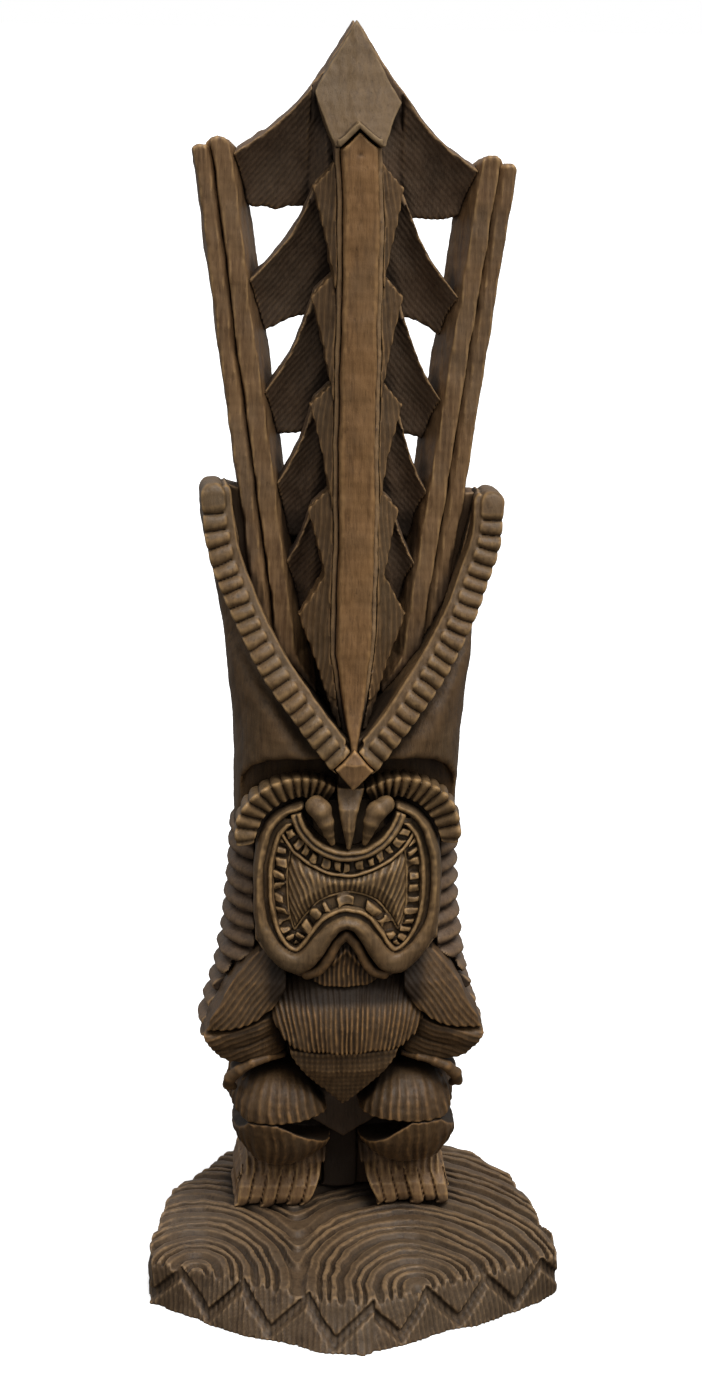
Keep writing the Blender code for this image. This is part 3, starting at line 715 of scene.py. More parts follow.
def upper_lip(x, y, z):
    u = np.abs(x)
    arc = np.hypot(x, z - ARC_LEVEL)
    front = muzzle(u, z) + 0.3
    outer = smax(np.abs(arc - 13.5) - 0.72, front + 0.5 - y, 1.1)
    inner = smax(np.abs(arc - 12.1) - 0.62, front - 0.1 - y, 1.0)
    web = np.maximum(np.abs(arc - 12.8) - 1.2, front + 1.1 - y)
    d = smin(smin(outer, inner, 0.2), web, 0.2)
    near, _ = along(x, z, LIP_PATH)
    d = smax(d, 1.1 - near, 0.3)
    d = np.maximum(d, z - 119.8)
    return np.maximum(d, y - FACE_BACK)


def upper_teeth(x, y, z):
    u = np.abs(x)
    arc = np.hypot(x, z - ARC_LEVEL)
    turn = np.arctan2(x, ARC_LEVEL - z)
    front = muzzle(u, z)
    cell = (turn * 15.9 / 2.75 + 0.5 + 0.15 * lumps(x, 0.0 * y, z, 6.0, 88)) % 1.0
    size = 1.0 + 0.3 * lumps(x, 0.0 * y, z, 3.0, 89)
    tooth = np.maximum(np.abs(arc - 15.9) - 1.10 * size, np.abs(cell - 0.5) * 2.75 - 0.85 * size)
    teeth = smax(tooth, front + 2.4 + 0.7 * lumps(x, 0.0 * y, z, 4.0, 82) - y, 0.6)
    bead = smax(np.abs(arc - 17.9) - 0.45, front + 2.5 - y, 0.8)
    web = np.maximum(np.abs(arc - 16.5) - 1.75, front + 4.3 - y)
    d = smin(smin(teeth, bead, 0.3), web, 0.3)
    _, _, offset = lip_fields(x, z)
    d = np.maximum(d, offset + 3.4)
    d = np.maximum(d, z - 118.6)
    return np.maximum(d, y - FACE_BACK)


def tongue(x, y, z):
    u = np.abs(x)
    arc = np.hypot(x, z - ARC_LEVEL)
    _, _, offset = lip_fields(x, z)
    region = np.maximum(18.6 - arc, offset + 7.1)
    swell = np.clip(-offset - 7.1, 0.0, 3.0) / 3.0
    front = muzzle(u, z) + 4.0 - 1.8 * swell ** 0.7 + 1.2 * np.exp(-((arc - 18.6) / 1.0) ** 2)
    front = front + 0.5 * lumps(x, 0.0 * y, z, 9.0, 80)
    fan = np.arctan2(x, z - 70.0)
    strokes = 0.20 * np.sin(fan * 150.0 + 2.0 * lumps(x, 0.0 * y, z, 8.0, 83))
    d = smax(region, front - y + strokes, 0.5)
    return np.maximum(d, y - FACE_BACK)


def nose(x, y, z):
    u = np.abs(x)
    width = profile(z, (110.0, 113.0, 117.0, 121.0, 124.6), (0.45, 1.0, 1.75, 2.6, 3.3))
    front = profile(z, (110.0, 115.0, 120.0, 124.6), (-10.8, -12.4, -12.2, -9.4))
    dish = 0.7 * unit((z - 117.0) / 4.0) * np.exp(-(u / 1.2) ** 2)
    bridge = smax(u - width, front + 0.40 * u + dish - y, 1.0)
    bridge = np.maximum(bridge, np.maximum(110.2 - z, z - 124.6))
    lobe = tube(u, y, z, [(3.7, -8.8, 111.4, 0.7), (4.5, -9.8, 114.0, 1.2), (5.4, -10.6, 117.0, 1.9),
                          (6.6, -10.2, 119.6, 2.5), (8.2, -8.8, 120.6, 2.35)])
    arc = np.hypot(x, z - ARC_LEVEL)
    floor = np.maximum(arc - 11.4, np.maximum(-4.8 + 0.02 * u * u - y, z - 120.8))
    d = smin(smin(bridge, lobe, 0.35), floor, 0.5)
    return np.maximum(d, y - FACE_BACK)


def chin(x, y, z):
    u = np.abs(x)
    near, _ = along(x, z, LIP_PATH)
    path = curve([(0.0, 88.4), (2.4, 85.8), (4.4, 81.8), (6.4, 79.0), (9.4, 77.8)], 14)
    bead_distance, _ = along(u, z, path)
    bead = smax(bead_distance - 1.25, -8.8 + 0.02 * u * u - y, 1.5)
    under = polygon(u, z, [(-1.0, 88.0), (0.3, 88.0), (2.2, 85.4), (4.4, 81.4), (6.4, 78.8), (8.4, 77.4),
                           (7.6, 75.4), (5.0, 74.4), (-1.0, 74.0)])
    small, _ = along(u, z, [(0.0, 84.0), (1.6, 82.2), (3.2, 80.4)])
    strokes = 0.20 * np.sin(x * 5.4 + 0.8 * lumps(x, 0.0 * y, z, 6.0, 84))
    face = -5.9 + 0.03 * u * u - 0.8 * np.exp(-(small / 0.7) ** 2) + strokes
    d = smin(bead, smax(under, face - y, 0.6), 0.3)
    d = smax(d, 2.2 - near, 0.3)
    return np.maximum(d, y - FACE_BACK)


# ---------------------------------------------------------------- head and headdress
def head_block(x, y, z):
    u = np.abs(x)
    d = head_column(u, y, z, 3.0)
    d = smax(d, z - 190.4 + 0.10 * np.maximum(y - 14.0, 0.0), 1.2)
    d = smax(d, MANE_TOP + GAP - z, 0.4)
    band, _ = along(u, z, BAND_PATH)
    front_part = unit((12.0 - y) / 8.0)
    gutter = np.maximum(band - 3.0, 0.0)
    d = d + 1.7 * np.exp(-(gutter / 2.5) ** 2) * front_part
    d = d - 0.40 * np.exp(-((gutter - 5.4) / 2.2) ** 2) * front_part * unit((31.0 - u) / 3.0)
    d = d + 0.8 * np.exp(-((u - 11.0) ** 2 / 60.0 + (z - 136.0) ** 2 / 50.0)) * front_part
    notch = polygon(x, z, NOTCH)
    d = smax(d, -smax(notch, y - 17.0, 0.8), 0.8)
    hollow = polygon(u, z, EYE_HOLLOW)
    hollow_back = np.where(u < 3.0, -5.0, 4.6)
    d = smax(d, -smax(hollow, y - hollow_back, 1.0), 2.0)
    core = np.maximum(np.maximum(u - 22.3, y - 10.2), z - BROW_SEAM)
    d = np.maximum(d, -core)
    seat = smax(band - 3.5, y - band_front(z) - band_depth(z) - 0.2, 0.4)
    d = np.maximum(d, -seat)
    key = np.maximum(u + 0.93 * np.abs(z - 130.4) - 4.9, y + 8.0)
    d = np.maximum(d, -key)
    flutes = 0.25 * (1.0 - ridges(x / 5.2)) * unit((z - 112.0) / 4.0)
    d = d + flutes * unit((y - 20.0) / 6.0)
    d = without_peg(d, x, y, z, "neck_peg")
    return without_peg(d, x, y, z, "crest_peg")


def band_depth(z):
    """Thickness of the band from front to back: it grows towards the temples, to reach the head."""
    return profile(z, (150.0, 164.0, 178.0, 190.0), (4.4, 6.6, 11.6, 15.4))


def band_front(z):
    """Depth of the front of the band, from the keystone up to the temples."""
    return profile(z, (126.0, 133.0, 142.0, 152.0, 164.0, 176.0, 192.0),
                   (-13.0, -12.6, -11.4, -9.2, -6.0, -2.6, 0.6))


NOTCH_PITCH = 3.36


def u_key(x, z):
    return (np.abs(x) + 0.93 * np.abs(z - 130.0) - 4.5) * 0.73


def brow_band(x, y, z):
    near, place = along(x, z, BAND_PATH)
    outline = polygon(x, z, BAND_PATH + [(-10.0, 200.0)])
    offset = np.where(outline > 0, near, -near)
    front = band_front(z)
    cell = place / NOTCH_PITCH + 0.15 + 0.06 * lumps(x, 0.0 * y, z, 9.0, 97)
    tooth = np.abs(np.sin(math.pi * cell)) ** 0.45
    notch = 1.9 * (1.0 - tooth) * (place < 65.4)
    rungs = smax(np.abs(offset - 0.30) - 2.85 + 0.10 * notch, front + notch + 0.06 * (offset - 0.3) ** 2 - y, 0.6)
    ledge = smax(np.abs(offset + 2.9) - 1.15, front + 1.2 - 0.20 * (offset + 2.9) - y, 0.5)
    d = smin(rungs, ledge, 0.3)
    d = smax(d, z - 193.4 + 0.05 * (offset + 1.0) ** 2, 2.6)
    d = smax(d, y - front - band_depth(z), 0.5)
    return np.maximum(d, 0.35 - u_key(x, z))


def band_keystone(x, y, z):
    u = np.abs(x)
    outline = u_key(x, z)
    upper = -14.0 + 0.10 * u + 0.5 * np.maximum(z - 131.4, 0.0)
    lower = -14.0 + 0.16 * u + 0.12 * np.maximum(131.4 - z, 0.0)
    return smax(smax(outline, np.maximum(upper, lower) - y, 0.6), y + 8.2, 0.3)


def chevron(u):
    """Level of the notch in the foot of the finial, where the keel's point sits."""
    return 272.4 + np.maximum(4.4 - u, 0.0) * 0.92


def keel_bar(x, y, z):
    u = np.abs(x)
    half = profile(z, (134.6, 139.0, 156.0, 272.0), (0.9, 1.5, 3.98, 3.98))
    front = profile(z, (134.0, 150.0, 266.0, 275.0), (-10.6, -8.0, -7.3, -6.6))
    chamfer = (u - half) * 0.72 + (front - y) * 0.70 + 0.42
    d = smax(smax(u - half, front - y, 0.3), chamfer, 0.3)
    d = smax(d, (z - chevron(u) + 0.7) * 0.74, 0.3)
    d = smax(d, y + 2.6, 0.2)
    dimple = 0.9 - np.sqrt(x ** 2 + (z - 271.0) ** 2 + (y + 7.6) ** 2)
    return smax(d, dimple, 0.4)


def spine_half(z):
    return profile(z, (136.2, 141.0, 156.0, 272.0), (2.0, 2.9, 5.2, 5.2))


def headdress_spine(x, y, z):
    u = np.abs(x)
    half = spine_half(z)
    flange = smax(u - half, -4.2 - y, 0.5)
    bed = np.maximum(u - half + 1.2, y + 2.35)
    d = np.maximum(flange, -bed)
    d = np.maximum(d, np.maximum(136.2 - z, z - chevron(u) - np.where(y > -1.5, 1.4, -0.2)))
    back_ridge = y - HEADDRESS_BACK + 0.45 * u
    d = smax(d, back_ridge, 0.5)
    return without_peg(d, x, y, z, "crest_peg")


HEADDRESS_BACK = 18.2
BARB_PITCH = 24.6
BARB_ROOT = 263.7


def keel_scales(x, y, z):
    """Leaf-shaped scales: each starts under the one above, swells, and runs down to a point at the keel."""
    best = None
    for k in range(5):
        root = BARB_ROOT - k * BARB_PITCH
        tail = [(7.4, -12.0), (5.0, -20.0)]
        if k < 4:
            tail = [(9.4, -5.0), (7.6, -12.0), (6.0, -20.0), (4.6, -29.0)]
        leaf = [(4.6, 7.0), (6.0, 4.4), (10.4 + 0.1 * k, -0.6)] + tail
        leaf = [(across, root + up) for across, up in leaf + [(3.0, tail[-1][1]), (3.0, 7.0)]]
        outline = polygon(x, z, leaf)
        rise = unit((root + 4.0 - z) / 26.0)
        front = -2.4 - 1.9 * rise ** 0.8 + 0.58 * (x - 4.9)
        piece = smax(outline, front - y, 0.2)
        best = piece if best is None else np.minimum(best, piece)
    foot = polygon(x, z, [(3.0, 178.0), (6.0, 176.4), (12.4, 164.6), (9.8, 157.0), (3.4, 138.6), (1.6, 137.4),
                          (1.6, 150.0)])
    foot = smax(foot, -4.4 + 0.56 * (x - 4.0) - y, 0.3)
    d = np.minimum(best, foot)
    strokes = 0.13 * np.sin(x * 4.9 + 0.42 * z + 1.6 * lumps(x, 0.0 * y, z * 0.3, 6.0, 91))
    d = d + strokes
    d = np.maximum(d, spine_half(z) + 0.05 - x)
    return smax(d, y - 3.4, 0.4)


def rail_inner_x(z):
    return 24.7 + 0.139 * (z - 240.0)


RAIL_END = {"left": 274.0, "right": 270.4}


def notch_half(z):
    """Half width of the notch in the brow, left open above it."""
    halves, levels = zip(*NOTCH_EDGE, (60.0, 196.0))
    return profile(z, levels, halves)


def rail_field(side, bar):
    """Inner or outer bar of one side. The inner bar's inner face slants back towards the windows."""
    top = RAIL_END[side] - (0.0 if bar == "inner" else 1.8)

    def field(x, y, z):
        inner = rail_inner_x(z)
        seam = inner + 4.15
        stop = notch_half(z)
        inner = np.where(z < 156.0, np.minimum(inner, stop - 3.2 * unit((z - 140.0) / 16.0)), inner)
        front = 5.6 if bar == "inner" else 6.2
        lap = unit((y - 8.6) * 8.0) * 1.1
        if bar == "inner":
            right = np.minimum(seam + lap, stop)
            roll = smax(x - np.minimum(seam, stop), front - y, 0.7)
            roll = np.where(y > 8.6, x - right, roll)
            crease = (inner - x) * 0.80 + (front + 0.2 - y) * 0.60 - 0.2
            slant = inner - x - 0.33 * (y - front)
            d = smax(smax(roll, crease, 0.3), slant, 0.4)
        else:
            left = seam + 0.16 + lap
            reach = seam + 4.35 + np.where((y > 8.4) & (z < 192.0), np.minimum(6.0, 25.4 - seam), 0.0)
            right = np.minimum(reach, stop)
            d = smax(x - right, front - y, 0.9)
            d = smax(d, left - x, 0.25)
            d = smax(d, front + 1.4 - 1.1 * (x - left) - y, 0.3)
        d = smax(d, y - HEADDRESS_BACK + 1.6, 1.0)
        middle = seam - 2.0 if bar == "inner" else seam + 2.2
        dome = z - top + 0.16 * (x - middle) ** 2 + 0.010 * np.maximum(y - 6.0, 0.0) ** 2
        d = smax(d, dome, 1.0)
        return d + 0.07 * np.sin(x * 4.5 + lumps(x, y, z * 0.2, 5.0, 92))
    return field


# The barbs are numbered from the top. Each ridge falls by this much from its root to the rail, and the lower
# edge lies this far below the root at five places on the way out.
BARB_FALL = {"left": (14.6, 22.4, 24.0, 20.8, 14.6), "right": (16.0, 26.4, 25.8, 22.8, 15.4)}
BARB_DROP = ((26.4, 26.6, 26.8, 26.2, 25.0), (30.6, 31.2, 32.6, 34.6, 37.4), (33.0, 33.4, 33.8, 34.6, 36.0),
             (33.6, 33.6, 33.8, 34.4, 35.4), (27.6, 27.2, 26.8, 27.0, 27.8))
TOP_BARB_ROOT = {"left": 284.6, "right": 282.2}
TOP_BARB_SLOPE = {"left": 1.70, "right": 1.57}
TOP_BARB_SAG = (0.0, 0.33, 0.60, 0.81, 1.0)
BARB_SAG = (0.0, 0.36, 0.63, 0.83, 1.0)


def smooth_table(values):
    """A five-number table over 0 to 1 made into a smooth curve for interpolation."""
    path = curve([(0.25 * i, value) for i, value in enumerate(values)], 21)
    return [p[0] for p in path], [p[1] for p in path]


def barb_field(number, side):
    """Curved blade from the spine out to the rail, hollow behind. The top one also backs the finial."""
    top_one = number == 1
    root = TOP_BARB_ROOT[side] if top_one else BARB_ROOT - (number - 2) * BARB_PITCH
    start = 11.0 if top_one else 9.6
    fall = BARB_FALL[side][number - 1]
    end = rail_inner_x(root - fall)
    sag = smooth_table([fall * share for share in (TOP_BARB_SAG if top_one else BARB_SAG)])
    drop = smooth_table(BARB_DROP[number - 1])
    flat = float(side == "right" and not top_one)

    def field(x, y, z):
        t = (x - start) / (end - start)
        ridge = root - profile(t, *sag) - np.maximum(t - 1.0, 0.0) * 9.0
        ridge = ridge + np.maximum(start - x, 0.0)
        if top_one:
            ridge = np.maximum(ridge, 299.4 - np.maximum(x - 0.6, 0.0) * TOP_BARB_SLOPE[side])
        lower = root - profile(t, *drop) - flat * 1.6 * unit(t) ** 2
        share = np.clip((ridge - z) / (ridge - lower), -0.3, 1.2)
        within = unit(share)
        edge_y = 2.2 + 4.4 * np.clip(t, -0.2, 1.2)
        if top_one:
            edge_y = np.where(x < start, 6.6 - 0.40 * x, 2.2 + 4.4 * np.clip(t, 0.0, 1.2))
        deep = 11.8 + 1.0 * unit(t)
        scoop = 1.1 * np.sin(math.pi * unit(t)) * np.sin(math.pi * within)
        front = edge_y + (deep - edge_y) * within ** 0.85 + scoop
        if top_one:
            front = 6.0 + (front - 6.0) * unit((x - 6.5) / 4.0)
        thick = 5.2 - 1.2 * share
        slope = 0.80
        top = (z - ridge) * 0.70 - 0.12 * (y - edge_y)
        d = smax(top, (front - y) * slope, 0.5)
        under = (lower - z) * slope
        if top_one and side == "left":
            under = under + 0.5 * lumps(x, 0.0 * y, 0.0 * z, 3.4, 95) * (x > 14.0)
        d = smax(d, under, 0.9)
        d = smax(d, (y - front - thick) * slope, 1.0)
        d = d + 0.07 * np.sin((x * 1.2 + z) * 3.6 + lumps(x, y, z, 9.0, 93))
        rail = rail_inner_x(z) - 0.33 * (y - 5.6) - 0.15
        d = np.maximum(d, x - rail)
        if top_one:
            d = np.maximum(d, -np.maximum(y - 5.9, x - 10.4))
            d = np.maximum(d, 0.12 - x)
            return np.maximum(d, np.minimum(5.4 - x, 270.0 - z))
        d = np.maximum(d, 5.4 - x)
        return np.maximum(d, -np.maximum(x - 11.0, y - 3.6))
    return field


def finial(x, y, z):
    u = np.abs(x)
    level = z + 0.12 * x
    tip = (0.0, 4.6, 300.6)
    corner = (9.7, -0.8, 283.2)
    keel = (0.0, -6.9, 272.6)
    facet = np.cross(np.subtract(corner, tip), np.subtract(keel, tip))
    facet = facet if facet[1] < 0 else -facet
    d = plane(u, y, z, tip, facet)
    upper = plane(u, y, level, corner, (17.2, 0.0, 9.9))
    lower = plane(u, y, level, corner, (10.8, 0.0, -4.2))
    d = smax(smax(d, upper, 0.3), lower, 0.3)
    bottom = chevron(u)
    lip = smax(smax(np.abs(z - bottom - 0.95) - 0.75, u - 5.0, 0.3), -y - 7.6, 0.3)
    d = smin(d, np.maximum(lip, y + 4.0), 0.2)
    d = smax(d, bottom - z, 0.2)
    d = smax(d, y - 5.7, 0.3)
    return d + 0.06 * lumps(x, y, z * 0.3, 2.0, 94)


def peg(name):
    def field(x, y, z):
        px, py, radius, low, high = PEG_HOLES[name]
        turn = np.arctan2(y - py, x - px)
        d = peg_field(x, y, z, name) + 0.14 + 0.12 * np.cos(turn * 10.0)
        taper = np.hypot(x - px, y - py) + np.maximum(z - high + 1.2, low + 1.2 - z) - radius
        return smax(d, taper, 0.3)
    return field


# ---------------------------------------------------------------- materials
class Nodes:
    """Short calls for building the node tree of a material or of the world."""

    def __init__(self, owner):
        owner.use_nodes = True
        self.owner, self.tree = owner, owner.node_tree
        self.shader = self.tree.nodes.get("Principled BSDF")

    def new(self, kind, settings=None, **inputs):
        node = self.tree.nodes.new(kind)
        for key, value in (settings or {}).items():
            setattr(node, key, value)
        for key, value in inputs.items():
            self.feed(node.inputs[key.replace("_", " ")], value)
        return node

    def feed(self, socket, value):
        if isinstance(value, bpy.types.NodeSocket):
            self.tree.links.new(value, socket)
        else:
            socket.default_value = value

    def math(self, operation, a, b=0.0, clamp=False):
        node = self.new("ShaderNodeMath", {"operation": operation, "use_clamp": clamp})
        self.feed(node.inputs[0], a)
        self.feed(node.inputs[1], b)
        return node.outputs[0]

    def ramp(self, value, low, high, to_low=0.0, to_high=1.0):
        node = self.new("ShaderNodeMapRange", {"interpolation_type": "SMOOTHSTEP"})
        for key, number in zip(("Value", "From Min", "From Max", "To Min", "To Max"),
                               (value, low, high, to_low, to_high)):
            self.feed(node.inputs[key], number)
        return node.outputs[0]

    def mix(self, share, a, b, blend="MIX"):
        node = self.new("ShaderNodeMix", {"data_type": "RGBA", "blend_type": blend})
        self.feed(node.inputs[0], share)
        self.feed(node.inputs[6], a)
        self.feed(node.inputs[7], b)
        return node.outputs[2]

    def noise(self, vector, scale, detail=3.0, rough=0.55, distort=0.0):
        node = self.new("ShaderNodeTexNoise", {"noise_dimensions": "3D"}, Vector=vector, Scale=scale,
                        Detail=detail, Roughness=rough, Distortion=distort)
        return node.outputs[0]

    def attribute(self, name):
        node = self.new("ShaderNodeAttribute", {"attribute_name": name})
        return node.outputs["Fac"]


def rgb(r, g, b):
    """An sRGB colour of 0 to 255 as linear RGBA."""
    return tuple(((c / 255.0 + 0.055) / 1.055) ** 2.4 for c in (r, g, b)) + (1.0,)


def wood(name, deep, body, worn, dust, gloss):
    """Waxed brown wood: long fibres, pores, rubbed arrises, and a darkening of hollows and creases that is partly
    dark wax and partly painted shade.
    """
    deep, body, worn, dust = (rgb(*colour) for colour in (deep, body, worn, dust))
    n = Nodes(bpy.data.materials.new(name))
    place = n.new("ShaderNodeTexCoord").outputs["Object"]

    def stretched(x, y, z):
        return n.new("ShaderNodeMapping", Vector=place, Scale=(x / MM, y / MM, z / MM)).outputs[0]

    fibre = n.noise(stretched(1.5, 1.5, 0.16), 1.0, 5.0, 0.62, 0.4)
    streak = n.noise(stretched(0.30, 0.30, 0.035), 1.0, 3.0, 0.5, 0.6)
    cloud = n.noise(stretched(0.07, 0.07, 0.05), 1.0, 3.0, 0.6)
    pore = n.noise(stretched(2.6, 2.6, 0.42), 1.0, 2.0, 0.5)
    speck = n.noise(stretched(3.2, 3.2, 2.6), 1.0, 3.0, 0.7)
    wear = n.attribute("wear")
    hollow = n.attribute("hollow")
    tone = n.math("ADD", n.math("MULTIPLY", fibre, 0.55), n.math("MULTIPLY", streak, 0.45))
    colour = n.mix(n.ramp(tone, 0.24, 0.62), deep, body)
    colour = n.mix(n.math("MULTIPLY", n.ramp(cloud, 0.40, 0.66), 0.45), colour, dust)
    colour = n.mix(n.math("MULTIPLY", n.ramp(speck, 0.60, 0.72), 0.35), colour, worn)
    rubbed = n.math("MULTIPLY", n.ramp(wear, 0.08, 0.80), n.ramp(hollow, 0.85, 0.25, 0.15, 1.0))
    patchy = n.noise(stretched(0.5, 0.5, 0.3), 1.0, 3.0)
    rubbed = n.math("MULTIPLY", rubbed, n.ramp(patchy, 0.25, 0.60, 0.45, 1.0))
    colour = n.mix(rubbed, colour, worn)
    pores = n.math("MULTIPLY", n.ramp(pore, 0.60, 0.72), 0.30)
    colour = n.mix(pores, colour, tuple(0.35 * c for c in deep[:3]) + (1.0,))
    # Creases and shut-in places are darkened towards a near-black brown: partly dark wax, partly painted shade.
    crease = n.ramp(wear, -0.06, -0.75)
    shut_in_shade = n.math("MULTIPLY", n.ramp(hollow, 0.40, 1.0), 0.82)
    wax_and_painted_shade = n.math("MAXIMUM", n.math("MULTIPLY", crease, 0.72), shut_in_shade)
    colour = n.mix(wax_and_painted_shade, colour, tuple(0.26 * c for c in deep[:3]) + (1.0,))
    n.feed(n.shader.inputs["Base Color"], colour)
    dull = n.math("ADD", n.math("MULTIPLY", fibre, 0.22), gloss - 0.11)
    dull = n.math("SUBTRACT", dull, n.math("MULTIPLY", rubbed, 0.10))
    dull = n.math("ADD", dull, n.math("MULTIPLY", wax_and_painted_shade, 0.22), clamp=True)
    n.feed(n.shader.inputs["Roughness"], dull)
    n.shader.inputs["Specular IOR Level"].default_value = 0.30
    height = n.math("ADD", fibre, n.math("MULTIPLY", pores, -0.8))
    height = n.math("ADD", height, n.math("MULTIPLY", speck, 0.35))
    bump = n.new("ShaderNodeBump", Strength=0.55, Distance=0.22 * MM, Height=height)
    n.feed(n.shader.inputs["Normal"], bump.outputs[0])
    return n.owner


# Copies of one wood, made lighter or darker by how much light each group of pieces gets: painted light on the
# brighter copies and painted shade on the darker ones. The base's copy is also darkened for the shade in its ring
# grooves. The pegs' birch is their own colour.
LIT = wood("wood_lit_rubbed", (92, 64, 38), (148, 110, 70), (192, 148, 96), (126, 100, 72), 0.42)
RAIL = wood("wood_rail_painted_lit", (88, 62, 40), (140, 108, 74), (184, 146, 98), (114, 96, 76), 0.46)
FACE = wood("wood_face_painted_half_shade", (72, 54, 36), (118, 92, 63), (176, 140, 94), (100, 84, 62), 0.42)
MID = wood("wood_mid_painted_half_shade", (66, 49, 32), (110, 84, 56), (160, 124, 82), (98, 80, 58), 0.46)
BODY = wood("wood_body_painted_shade", (57, 41, 26), (96, 72, 46), (148, 111, 70), (84, 68, 50), 0.46)
KITE = wood("wood_kite_painted_lit_dusty", (88, 67, 44), (124, 100, 71), (150, 124, 90), (116, 98, 76), 0.56)
DEEP = wood("wood_deep_shadowed", (76, 59, 46), (118, 95, 74), (168, 134, 94), (108, 92, 75), 0.52)
GROUND = wood("wood_base_rings", (58, 44, 32), (96, 76, 55), (142, 114, 82), (92, 77, 60), 0.50)
PEG = wood("peg_birch", (132, 100, 64), (176, 142, 98), (200, 168, 122), (160, 134, 98), 0.55)

# ---------------------------------------------------------------- the pieces
carve("base_plinth", base_plinth, 0.42, GROUND, "wood_mid", (5.0, 2.5, 2.5))
carve_pair("foot_", foot, 0.34, RAIL, "wood_mid")
carve_pair("calf_", calf, 0.32, BODY, "wood_mid", (2.0, 9.0, 4.0))
carve_pair("thigh_", thigh, 0.34, BODY, "wood_mid", (2.0, 19.0, 5.0))
carve("hip_block", hip_block, 0.45, DEEP, "wood_deep")
carve("belly", belly, 0.30, MID, "wood_mid")
carve("chest", chest, 0.27, BODY, "wood_lit")
carve_pair("upper_arm_", upper_arm, 0.30, BODY, "wood_mid", (6.0, 3.0, 7.0))
carve_pair("forearm_", forearm, 0.30, BODY, "wood_mid", (4.0, 3.0, 9.0))
carve_pair("hand_", hand, 0.28, BODY, "wood_mid")
carve_pair("mane_", mane, 0.42, DEEP, "wood_deep")
carve("face_block", face_block, 0.45, DEEP, "wood_deep")
carve_pair("brow_fan_", brow_fan, 0.28, FACE, "wood_mid")
carve("lower_lip", lower_lip, 0.28, FACE, "wood_lit")
carve("lower_teeth", lower_teeth, 0.26, FACE, "wood_mid")
carve("upper_lip", upper_lip, 0.26, FACE, "wood_lit")
carve("upper_teeth", upper_teeth, 0.26, FACE, "wood_mid")
carve("tongue", tongue, 0.27, FACE, "wood_deep")
carve("nose", nose, 0.25, FACE, "wood_lit")
carve("chin", chin, 0.26, BODY, "wood_mid")
carve("head_block", head_block, 0.46, MID, "wood_mid")
carve_pair("brow_band_", brow_band, 0.27, FACE, "wood_lit", 5.0)
carve("band_keystone", band_keystone, 0.24, LIT, "wood_lit")
carve("keel_bar", keel_bar, 0.30, LIT, "wood_lit", 5.5)
carve("headdress_spine", headdress_spine, 0.36, DEEP, "wood_deep")
carve_pair("keel_scales_", keel_scales, 0.30, MID, "wood_mid", 9.0)
for side_name, side_sign in SIDES.items():
    for bar_name in ("inner", "outer"):
        carve("rail_%s_%s" % (bar_name, side_name), rail_field(side_name, bar_name), 0.34, RAIL,
              "wood_lit", (4.0, 3.0, 26.0), side_sign)
for barb_number in range(1, len(BARB_DROP) + 1):
    for side_name, side_sign in SIDES.items():
        carve("barb_%s_%d" % (side_name, barb_number), barb_field(barb_number, side_name), 0.34, DEEP,
              "wood_deep", 5.0, side_sign)
carve("finial", finial, 0.28, KITE, "wood_lit")
for peg_node in PEG_HOLES:
    carve(peg_node, peg(peg_node), 0.30, PEG, "peg_wood")

LOWER_FACE_TURN = 0.9
CREST_LEAN = 0.9
LEGS_ASIDE = 1.0
LEFT_TEMPLE_RISE = 2.0


def settle(points):
    """A hand-carved unevenness, a slight turn of the lower face and a slight lean, shared by all pieces so that
    joints stay closed."""
    x, y, z = points.T
    shift = np.stack([0.22 * lumps(x, y, z, 15.0, 101) + 0.10 * lumps(x, y, z, 5.0, 104),
                      0.16 * lumps(x, y, z, 13.0, 102) + 0.10 * lumps(x, y, z, 5.0, 105),
                      0.20 * lumps(x, y, z, 14.0, 103) + 0.08 * lumps(x, y, z, 5.0, 106)], 1)
    shift *= unit(z / 2.0)[:, None]
    forward = unit((3.0 - y) / 12.0)
    low = unit((128.0 - z) / 10.0) * unit((z - 14.0) / 20.0)
    shift[:, 0] -= LOWER_FACE_TURN * forward * low
    crest = unit((z - 256.0) / 22.0) * unit((14.0 - np.abs(x)) / 6.0)
    shift[:, 0] -= CREST_LEAN * crest
    leg = unit((42.0 - z) / 8.0) * unit((z - 12.2) / 0.8)
    shift[:, 0] += LEGS_ASIDE * leg
    temple = unit((z - 176.0) / 14.0) * unit((200.0 - z) / 5.0)
    shift[:, 2] += LEFT_TEMPLE_RISE * temple * unit((-x - 24.0) / 5.0)
    return points + shift


# ---------------------------------------------------------------- wear, dark wax and painted shade
# A coarse grid of the whole figure tells how crowded each place is: the crowded ones are darkened, partly for
# dark wax and partly as painted shade.
VOXEL = 1.0
ROOM = 12.0
CROWD_BLUR = 3
CROWD_REACH = 3.2
WEAR_HEIGHT = 0.16
box_low = np.array(cad_box[0]) / MM - ROOM
box_cells = np.ceil((np.array(cad_box[1]) / MM + ROOM - box_low) / VOXEL).astype(int)
filled = np.zeros(tuple(box_cells), np.float32)


def box_blur(values, radius):
    """Mean over a box of 2 * radius + 1 cells a side."""
    for axis in range(3):
        values = np.moveaxis(values, axis, 0)
        padded = np.concatenate([np.zeros((radius + 1,) + values.shape[1:], np.float32), values,
                                 np.zeros((radius,) + values.shape[1:], np.float32)])
        total = np.cumsum(padded, 0, dtype=np.float64)
        values = ((total[2 * radius + 1:] - total[:-2 * radius - 1]) / (2 * radius + 1)).astype(np.float32)
        values = np.moveaxis(values, 0, axis)
    return values


